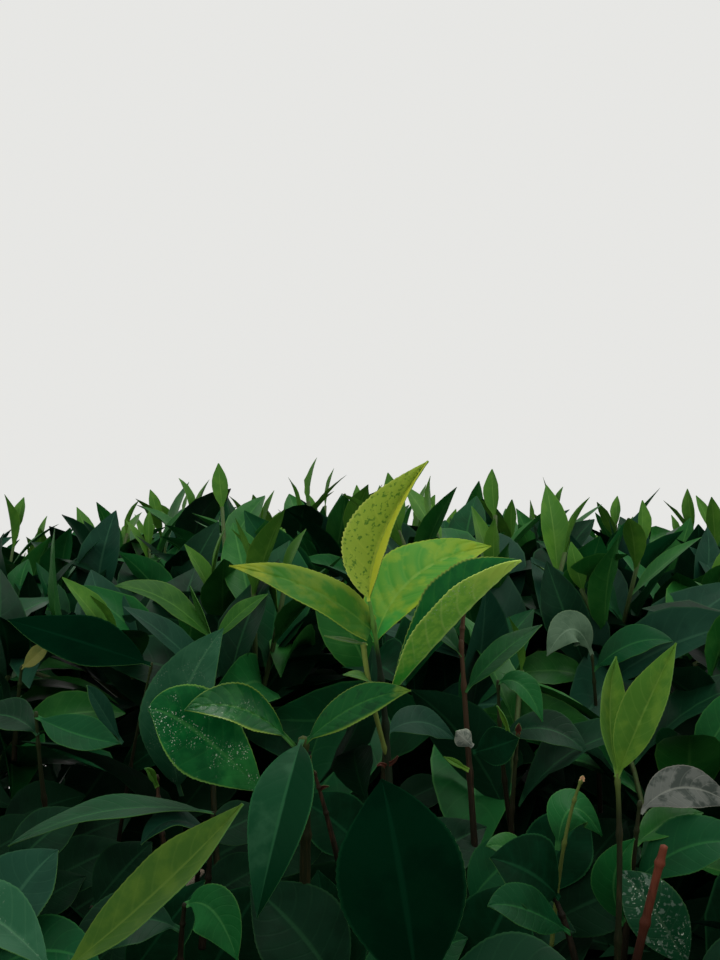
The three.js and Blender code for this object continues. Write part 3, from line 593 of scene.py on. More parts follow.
def add_leaf(name, above, below, slot, nodes, steps=FINE_BLADE, **leaf):
    """One leaf in full, with its upper and its lower skin. Its places are given from the shoot's, and what
    blade_points reads of it as named sizes."""
    leaf["left_half"], leaf["right_half"] = leaf.pop("halves")
    leaf.setdefault("fold_tip", leaf["fold"])
    leaves = {quality: np.array([value], float) for quality, value in leaf.items()}
    for quality in ("start", "middle", "tip"):
        leaves[quality] = leaves[quality] + SHOOT
    surfaces, places = blade_points(leaves, *steps, BLADE_THICKNESS)
    faces, under = closed_blade_faces(*steps)
    uv = np.concatenate([places.reshape(-1, 2)] * 2)
    points = np.concatenate([surface.reshape(-1, 3) for surface in surfaces])
    piece = make_piece(name, points, [faces], [skins[above], skins[below]], nodes, uv, under)
    piece.data.set_sharp_from_angle(angle=np.radians(SHARP_FROM))
    shown_points.append(surfaces[0][0, 4::8, ::4].reshape(-1, 3))


def add_own_leaf(node_name, above, below, slot, **leaf):
    """A leaf that replaces a node of its own."""
    add_leaf(node_name + "_blade", above, below, slot, [node_name], **leaf)


STEM_RINGS = 70
STEM_SIDES = 16
JOINT_SPAN = 0.018


def add_stem(name, line, radii, bark, nodes, joints, joint_swell):
    """A stem along a bowed line, its places given from the shoot's. It tapers and swells at each joint."""
    t = np.linspace(0, 1, STEM_RINGS)
    centres = bow(*(SHOOT + np.array(place) for place in line), t)
    radius = mix(radii[0], radii[1], t)
    for joint in joints:
        radius = radius + joint_swell * bell((t - joint) / JOINT_SPAN)
    wander = noise(np.stack([t * 14, 0 * t, 0 * t + sum(line[2])], axis=-1), 3)
    kept_balls.extend(np.column_stack([centres[::5], radius[::5] + BALL_MARGIN]))
    points = tubes(centres[None], (radius * (1 + WANDER * wander))[None], STEM_SIDES)
    make_piece(name, points, tube_faces(1, STEM_RINGS, STEM_SIDES), [bark], nodes)


def stem_material(name, low, high, foot, top, scar):
    """A stem's skin: its colour turns from low to high between two heights, with scars in fine streaks."""
    made, tree, shader = new_material(name, 0.5, 0.1)
    place = object_place(tree)
    split = tree.nodes.new("ShaderNodeSeparateXYZ")
    tree.links.new(place, split.inputs[0])
    colour = blend(tree, ramp(tree, split.outputs[2], foot * MM, top * MM), low, high)
    stretched = node(tree, "VectorMath", {"operation": "MULTIPLY"}, place, (1.0, 1.0, 0.15))
    streaks = maths(tree, "MULTIPLY", spots(tree, stretched, 1.2, 0.5, 0.7, 2, 3.0), 0.45)
    colour = blend(tree, streaks, colour, scar)
    tree.links.new(colour, shader.inputs["Base Color"])
    bump(tree, shader, node(tree, "TexNoise", {}, stretched, None, 1 / (0.8 * MM), 3.0, 0.5), 0.4, 0.3)
    return made


# young_stem and shoot_wood turn near black toward the foot: partly older wood, partly painted shade among
# the leaves.
young_stem = stem_material("young_stem", (10, 13, 5), (100, 150, 28), 768, 794, (40, 30, 12))
shoot_wood = stem_material("shoot_wood", (7, 14, 6), (70, 170, 26), 799, 808, (12, 12, 6))
twig_green = stem_material("twig_green", (80, 110, 24), (115, 155, 30), 768, 800, (60, 70, 20))
add_stem(
    "shoot_stem_skin", ((5.9, 0.1, -112), (8.2, -0.5, -35), (-0.8, 0.5, 12.4)), (1.7, 0.55), shoot_wood,
    ["shoot_stem"], (0.24, 0.62, 0.75, 0.92), 0.45,
)
add_stem(
    "shoot_side_stem_skin", ((4.6, -0.2, -37), (-1.5, -5.5, -15), (-2.8, -3.2, -0.6)), (0.75, 0.85),
    twig_green, ["shoot_stem"], (0.05, 0.98), 0.2,
)

add_skin(
    "young_leaf_below", (80, 200, 25), (110, 240, 30), (220, 360, 80), (240, 340, 50), vein=0.4, rough=0.6,
    through=0.3, relief=-0.2,
)
# Top leaf: the light yellow-green of its right half, set by edge, is a yellower tone with painted light on
# it.
add_skin(
    "top_leaf", (360, 500, 65), (120, 260, 35), (580, 660, 100), (600, 660, 150), size=1.5,
    cover=(0.54, 0.64), vein=0.2, edge=(1, 0.05, 0.25, (580, 620, 50)), rough=0.5, through=0.3,
)
# Left leaf: the darker green near its stalk, the second of its parts, is a painted shadow of the top leaf.
add_skin(
    "left_leaf", (28, 130, 10), (85, 165, 12), (70, 180, 20), (200, 280, 30), size=7, cover=(0.46, 0.68),
    vein=0.12, edge=(1, 0.6, 0.92, (130, 210, 14)),
    parts=((0.72, 0.95, (200, 250, 14)), (0.24, 0.04, (12, 80, 12))), rough=0.5, through=0.25,
)
add_skin(
    "back_leaf", (62, 255, 26), (160, 310, 26), (170, 340, 45), (260, 380, 30), size=8, cover=(0.46, 0.62),
    vein=0.22, band=0.3, edge=(1, 0.72, 1.0, (260, 360, 20)),
    parts=((0.78, 1.0, (220, 320, 20)), (0.28, 0.05, (30, 250, 35))), rough=0.5, through=0.3,
)
add_skin(
    "right_leaf", (3, 75, 14), (6, 95, 16), (30, 140, 20), (220, 300, 50), size=5, vein=0.2, rough=0.42,
    through=0.15,
)
add_skin(
    "right_leaf_below", (170, 460, 55), (270, 560, 70), (420, 640, 150), (500, 640, 140), size=2.4,
    cover=(0.4, 0.62), vein=0.4, specks=0.7,
    parts=((0.5, 0.92, (400, 600, 90)), (0.34, 0.02, (50, 400, 40))), through=0.25, relief=-0.2,
)
add_own_leaf(
    "shoot_leaf_top", "top", "young_leaf_below", "young_leaf", start=[-0.8, 0.5, 12.4],
    middle=[3.2, 1.5, 33.5], tip=[17.8, -3.8, 57.8], face=[-0.44, -0.9, 0.1], halves=(12.9, 13), fold=42,
    fold_tip=56, right_curl=12, stalk=0.02, teeth=34, bite=0.05, relief=0.22, ripple=0.02, waves=3,
)
add_own_leaf(
    "shoot_leaf_left", "left", "young_leaf_below", "young_leaf", start=[-0.4, -0.4, 3.4],
    middle=[-19.6, -6.5, 17.2], tip=[-44.7, -13, 25.3], face=[0.15, -0.62, 0.76], halves=(9, 8.6), fold=6,
    stalk=-0.22, teeth=30, bite=0.03, relief=0.3, ripple=0.05, waves=2.2, phase=1,
)
add_own_leaf(
    "shoot_leaf_back", "back", "young_leaf_below", "young_leaf", start=[1, 0.9, -1],
    middle=[14.6, 17.7, 18.6], tip=[41.5, 33.1, 27.4], face=[-0.3, -0.75, 0.58], halves=(12.5, 12.5),
    fold=14, stalk=0, teeth=30, bite=0.03, relief=0.35, ripple=0.05, waves=2.5,
)
add_own_leaf(
    "shoot_leaf_right", "right", "right_leaf_below", "young_leaf", start=[3.2, -1, -21],
    middle=[26.2, -18.5, 9.2], tip=[44.9, -25, 28.3], face=[-0.7, -0.19, 0.69], halves=(16, 13.8), fold=45,
    fold_tip=62, left_curl=-20, stalk=0.06, teeth=36, bite=0.05, relief=0.25, ripple=0.02, waves=3,
)
add_skin("scale_leaf", (30, 100, 20), (50, 130, 20), (90, 180, 30), (100, 180, 40))
add_skin("bud_scale", (42, 13, 8), (24, 10, 6), (60, 20, 12), (70, 30, 18))
SCALE_BLADE = (30, 8)
SCALES = [  # skin, start, middle, tip, half width, fold and face
    ("scale", (-1.6, -3.1, -1), (-8, -3.8, 0.3), (-15.4, -2.9, 1.8), 1.6, 12, (0, -0.3, 1)),
    ("scale", (0.5, -3.4, -14), (-3.6, -6.2, -10.9), (-9.2, -9.4, -9.6), 2.4, 15, (0.3, -0.5, 1)),
    ("bud_scale", (5.8, -0.8, -40.1), (7.1, -2.3, -38.8), (8.3, -2.8, -37), 0.7, 30, (0, -0.9, 0.3)),
    ("bud_scale", (4.2, -0.8, -40.8), (2.9, -2.3, -39.8), (1.6, -2.8, -40.3), 0.7, 30, (0, -0.9, 0.3)),
]
for number, (skin, start, middle, tip, half, fold, face) in enumerate(SCALES):
    add_leaf(
        f"scale_leaf_{number + 1}", skin, skin, "young_leaf", ["shoot_stem"], SCALE_BLADE, start=start,
        middle=middle, tip=tip, face=face, halves=(half, half), fold=fold,
    )


# The low twig.
# An older twig just left of the shoot with four leathery leaves, broad and dark, two of them hanging or
# half turned under. Rain has left pale spots of dust on them.
add_skin(
    "old_leaf_below", (18, 85, 18), (24, 100, 22), (60, 150, 40), (60, 140, 30), vein=0.3, rough=0.6,
    relief=-0.2,
)
add_skin(
    "low_right_leaf", (2, 50, 8), (1, 30, 6), (20, 100, 18), (100, 160, 24), size=4.5, cover=(0.5, 0.66),
    vein=0.15, edge=(1, 0.78, 1.0, (80, 150, 16)), parts=((0.85, 1.0, (85, 150, 16)),), rough=0.4,
)
add_skin(
    "low_upper_leaf", (1, 48, 9), (8, 75, 14), (30, 110, 20), (150, 230, 30), size=6, vein=0.15,
    edge=(-1, 0.82, 1.0, (100, 170, 18)), specks=0.3, rough=0.32, shine=0.2, relief=0.15,
)
add_skin(
    "low_left_leaf", (1, 48, 10), (3, 70, 14), (20, 110, 24), (110, 230, 40), size=6, vein=0.12,
    parts=((0.3, 0.1, (12, 110, 22)),), specks=0.85, rough=0.4, shine=0.06, relief=0.1,
)
# Hanging leaf: the grey-green patches are painted sheen; the half darkened by edge is painted shade.
add_skin(
    "hanging_leaf", (4, 38, 14), (12, 56, 24), (12, 66, 24), (12, 75, 24), size=9, vein=0.08,
    edge=(-1, 0.02, 0.1, (0.3, 20, 6)), rough=0.45, shine=0.05, relief=0.05,
)
add_stem(
    "side_twig_skin", ((-23, -9.8, -110), (-20, -12, -70), (-21.6, -15.4, -28.2)), (2.1, 1.4), young_stem,
    ["side_twig"], (0.62, 0.97), 0.5,
)
add_own_leaf(
    "side_leaf_right", "low_right", "old_leaf_below", "young_leaf", start=[-20.8, -16, -29.5],
    middle=[-4.9, -19.5, -17.2], tip=[11.7, -23.5, -11.8], face=[-0.1, -0.75, 0.65], halves=(6.2, 6.2),
    fold=8, stalk=0.03, teeth=26, bite=0.04, relief=0.25, ripple=0.04,
)
add_own_leaf(
    "side_leaf_upper", "low_upper", "old_leaf_below", "young_leaf", start=[-22.6, -16.4, -33],
    middle=[-38.1, -31, -16.3], tip=[-55.3, -40, -14.4], face=[0.1, -0.7, 0.7], halves=(7.4, 7.4), fold=10,
    right_curl=40, stalk=0.16, teeth=26, bite=0.05, relief=0.3, ripple=0.05,
)
add_own_leaf(
    "side_leaf_left", "low_left", "old_leaf_below", "old_leaf", start=[-23, -13.3, -58],
    middle=[-50.4, -28.5, -25.6], tip=[-66.6, -36, -15], face=[0.28, -0.8, 0.52], halves=(13.5, 13.5),
    fold=5, stalk=0.18, teeth=40, bite=0.03, relief=0.15, ripple=0.04,
)
add_own_leaf(
    "side_leaf_hanging", "hanging", "old_leaf_below", "old_leaf", start=[-21.8, -16.9, -28.6],
    middle=[-27, -36.5, -44], tip=[-33.9, -44, -74.5], face=[-0.15, -0.9, 0.4], halves=(9.4, 9.4), fold=14,
    stalk=0.05, teeth=40, bite=0.02, relief=0.08, ripple=0.04,
)


# The four sprigs near it.
# Shoots of this season that stand a little out of the table: thin green stems, each with two to four
# leaves. One of them carries a broad leaf of last year, dark and dull.
add_skin(
    "sprig_leaf", (14, 70, 7), (24, 90, 10), (50, 140, 20), (70, 150, 20), size=7, vein=0.2, rough=0.48,
    through=0.2,
)
add_skin(
    "sprig_bright_leaf", (45, 130, 12), (80, 170, 16), (110, 210, 30), (130, 220, 30), size=7, vein=0.2,
    rough=0.48, through=0.2,
)
add_skin(
    "sprig_dark_leaf", (2, 34, 7), (4, 46, 10), (15, 80, 18), (25, 90, 18), size=7, vein=0.15, rough=0.42,
    relief=0.15,
)
add_skin(
    "sprig_old_leaf", (8, 52, 22), (14, 66, 30), (30, 100, 45), (25, 90, 35), size=9, vein=0.15,
    specks=0.15, rough=0.5, relief=0.15,
)
add_skin(
    "sprig_deep_leaf", (0.8, 12, 4), (1, 17, 6), (4, 34, 12), (8, 50, 15), size=7, vein=0.12, rough=0.5,
    shine=0.02,
)
add_skin(
    "sprig_near_leaf", (24, 68, 6), (42, 90, 8), (60, 110, 14), (70, 120, 14), size=7, vein=0.2, rough=0.5,
    through=0.15,
)
add_skin("silver_leaf", (200, 220, 180), (90, 110, 90), (280, 300, 260), (420, 460, 340), size=2)
# brown_stem turns near black toward the foot: partly older wood, partly painted shade among the leaves.
brown_stem = stem_material("brown_stem", (10, 9, 5), (40, 22, 11), 735, 800, (70, 35, 20))
SPRIG_BLADE = (56, 10)
SPRIGS = {  # a stem's three places, and then its leaves, as add_sprig reads them
    "back_left": [
        ((-55, 60, -120), (-62, 78, -60), (-61.2, 89.5, -14.5)),
        ("sprig", (-61, 89.5, -15), (-78.5, 84.2, 1.8), (-96.8, 76.4, 8.5), 8, 14, (0, -0.5, 0.9)),
        ("sprig", (-61, 89.5, -15), (-51, 94, -4.5), (-40.3, 98.2, 2.8), 4.5, 14, (0, -0.5, 0.9)),
        ("sprig", (-61.2, 89.5, -15), (-65.5, 90.2, -4), (-70.2, 90.3, 6.9), 1.8, 30, (-0.5, -0.8, 0)),
        ("sprig_old", (-72, 77, -72), (-71.5, 66, -38), (-55, 69.5, -6.6), 14.5, 12, (-0.2, -0.9, 0.3)),
    ],
    "right": [
        ((38, 20, -115), (33, 25, -40), (30.8, 27.9, -4.4)),
        ("sprig_dark", (32.2, 25.6, -22), (44.4, 29.6, -9.9), (59.7, 36, -0.4), 5.5, 14, (-0.4, -0.6, 0.7)),
        ("sprig_deep", (34, 13.2, -39.8), (41.4, 9.2, -36.7), (48.3, 6.2, -33.3), 6.5, 5, (0, -0.9, 0.4)),
        ("silver", (33.6, 11.2, -37.3), (30.6, 8.2, -34.1), (27.6, 6.2, -31), 3.4, -20, (0, -1, 0.2)),
        ("sprig_bright", (32.5, 16, -46.6), (28, 15.2, -43.8), (24.4, 17.2, -42.3), 1.3, 20,
         (0, -0.8, 0.5)),
        ("sprig_dark", (31.4, 27.3, -10), (21, 36, -1), (8, 50, 3), 6, 20, (0.2, -0.5, 0.8)),
    ],
    "near_right": [
        ((60, -84, -122), (66, -82, -60), (64, -79, -23)),
        ("sprig_bright", (64, -79, -24), (70.5, -80, -7), (79.6, -77.7, 11.5), 6.5, 25, (-0.5, -0.8, 0.3)),
        ("sprig_bright", (64, -79, -24), (63, -73, -8.5), (65.6, -68, 6.3), 5, 25, (0.4, -0.8, 0.3)),
    ],
    "near_left": [
        ((-60, -176, -140), (-64, -180, -84), (-61, -181.3, -34)),
        ("sprig_near", (-61, -181.3, -35), (-42, -180, -19), (-26, -178, -3), 6.5, 20, (-0.5, -0.6, 0.6)),
        ("sprig_old", (-61, -181.3, -35), (-76, -175, -25), (-92, -166, -26), 7, 20, (0, -0.4, 0.9)),
    ],
}
SPRIG_STEM_RADIUS = (1.4, 0.7)
SPRIG_STEM_JOINTS = (0.5, 0.8, 0.97)
SPRIG_JOINT_SWELL = 0.3
SPRIG_STEMS = {"right": (SPRIG_STEM_RADIUS, brown_stem), "near_right": ((1.1, 0.6), young_stem)}
USUAL_LIE = (10, (0, -0.8, 0.6))  # a leaf's fold and the way it faces


def add_sprig(prefix, rows, slot, nodes, radii, bark, steps=SPRIG_BLADE):
    """A stem through the three places of the first row, and a leaf for each further row: its skin, start,
    middle, tip and half width, then its fold and the way it faces where they aren't the usual ones."""
    add_stem(f"{prefix}_stem", rows[0], radii, bark, nodes, SPRIG_STEM_JOINTS, SPRIG_JOINT_SWELL)
    for number, (skin, start, middle, tip, half, *lie) in enumerate(rows[1:]):
        fold, face = [*lie, *USUAL_LIE[len(lie):]]
        add_leaf(
            f"{prefix}_leaf_{number + 1}", skin, "old_leaf_below", slot, nodes, steps, start=start,
            middle=middle, tip=tip, face=face, halves=(half, half), fold=fold, teeth=28, bite=0.03,
            relief=0.15, ripple=0.05, phase=number,
        )


for sprig_name, sprig in SPRIGS.items():
    looks = SPRIG_STEMS.get(sprig_name, (SPRIG_STEM_RADIUS, young_stem))
    add_sprig(f"sprig_{sprig_name}", sprig, "young_leaf", [f"sprig_{sprig_name}"], *looks)


# The table's shoots beside them.
# Plucked shoots whose tops stand among the sprigs: leathery leaves of all ages, dark and matt, one old leaf
# gone grey, another mottled, a dead red-brown twig, and stubs where pluckers broke a shoot off.
OLD_SKINS = {  # body, patch, rib and margin, then how much the veins show, roughness and shine
    # inner: a near-black green for the leaves deep inside the crown: painted shade
    "inner": ((2.2, 16, 6), (1.2, 10, 4), (6, 32, 12), (6, 28, 9), 0.1, 0.5, 0.03),
    "deep": ((3, 22, 9), (2, 15, 6), (10, 50, 18), (10, 45, 14), 0.12, 0.42, 0.06),
    # blue: a blue-grey green, partly the leaves' own tone and partly a painted sheen
    "blue": ((6, 34, 18), (4, 26, 14), (18, 65, 34), (16, 58, 26), 0.12, 0.46, 0.06),
    "dark": ((3, 40, 12), (3, 30, 9), (12, 78, 20), (12, 72, 16), 0.12, 0.4, 0.06),
    "mid": ((6, 66, 14), (5, 50, 11), (26, 115, 28), (26, 110, 22), 0.12, 0.4, 0.06),
}
for name, (*colours, vein, rough, shine) in OLD_SKINS.items():
    add_skin(f"{name}_leaf", *colours, size=16, vein=vein, rough=rough, shine=shine, relief=0.2)
add_skin(
    "dry_leaf", (60, 42, 28), (35, 24, 16), (90, 68, 45), (80, 60, 35), size=9, vein=0.2, rough=0.7,
    relief=0.3,
)
add_skin(
    "fresh_leaf", (8, 68, 10), (14, 85, 13), (34, 125, 24), (38, 125, 20), size=12, vein=0.14, rough=0.42,
    relief=0.15,
)
add_skin(
    "young_leaf", (34, 112, 12), (52, 142, 15), (80, 180, 28), (88, 180, 24), size=10, vein=0.14,
    rough=0.45, relief=0.15,
)
# shade: a near-black green for leaves low under the table: painted shade.
add_skin(
    "shade_leaf", (0.4, 8, 3), (0.3, 6, 2.4), (1, 13, 5), (2, 18, 6), size=16, vein=0.05, rough=0.55,
    shine=0.0,
)
add_skin(
    "pale_leaf", (50, 90, 52), (32, 66, 36), (80, 130, 80), (80, 130, 70), size=8, vein=0.15, rough=0.55,
    relief=0.2,
)
add_skin(
    "yellow_leaf", (120, 125, 28), (85, 105, 22), (150, 160, 40), (150, 160, 40), size=6, vein=0.15,
    rough=0.5,
)
add_skin("cut_end", (420, 240, 120), (360, 220, 120), (420, 280, 160), (420, 280, 160))
add_skin(
    "grey_leaf", (70, 78, 68), (26, 34, 28), (120, 130, 110), (120, 120, 100), size=5, cover=(0.44, 0.56),
    vein=0.2, rough=0.6, relief=0.3,
)
add_skin(
    "mottled_leaf", (4, 38, 14), (70, 110, 80), (30, 70, 35), (20, 70, 25), size=1.5, cover=(0.56, 0.62),
    vein=0.2, specks=0.9, rough=0.45, relief=0.3,
)
skins["darkest"] = skins["sprig_deep"]
dead_wood = stem_material("dead_wood", (20, 8, 5), (105, 28, 15), 736, 766, (15, 8, 5))
# table_stem is near black, most of all at the foot: partly older wood, partly painted shade among the
# leaves.
table_stem = stem_material("table_stem", (7, 6, 3), (20, 34, 10), 735, 800, (25, 16, 9))
TABLE_STEM_RADIUS = (1.2, 0.5)
TABLE_STEMS = {
    "scales": ((1.0, 0.5), brown_stem),
    "far_left": ((0.9, 0.4), table_stem),
    "broken": (TABLE_STEM_RADIUS, brown_stem),
    "bud": ((1.0, 0.5), table_stem),
    "plucked": ((0.7, 0.45), twig_green),
}
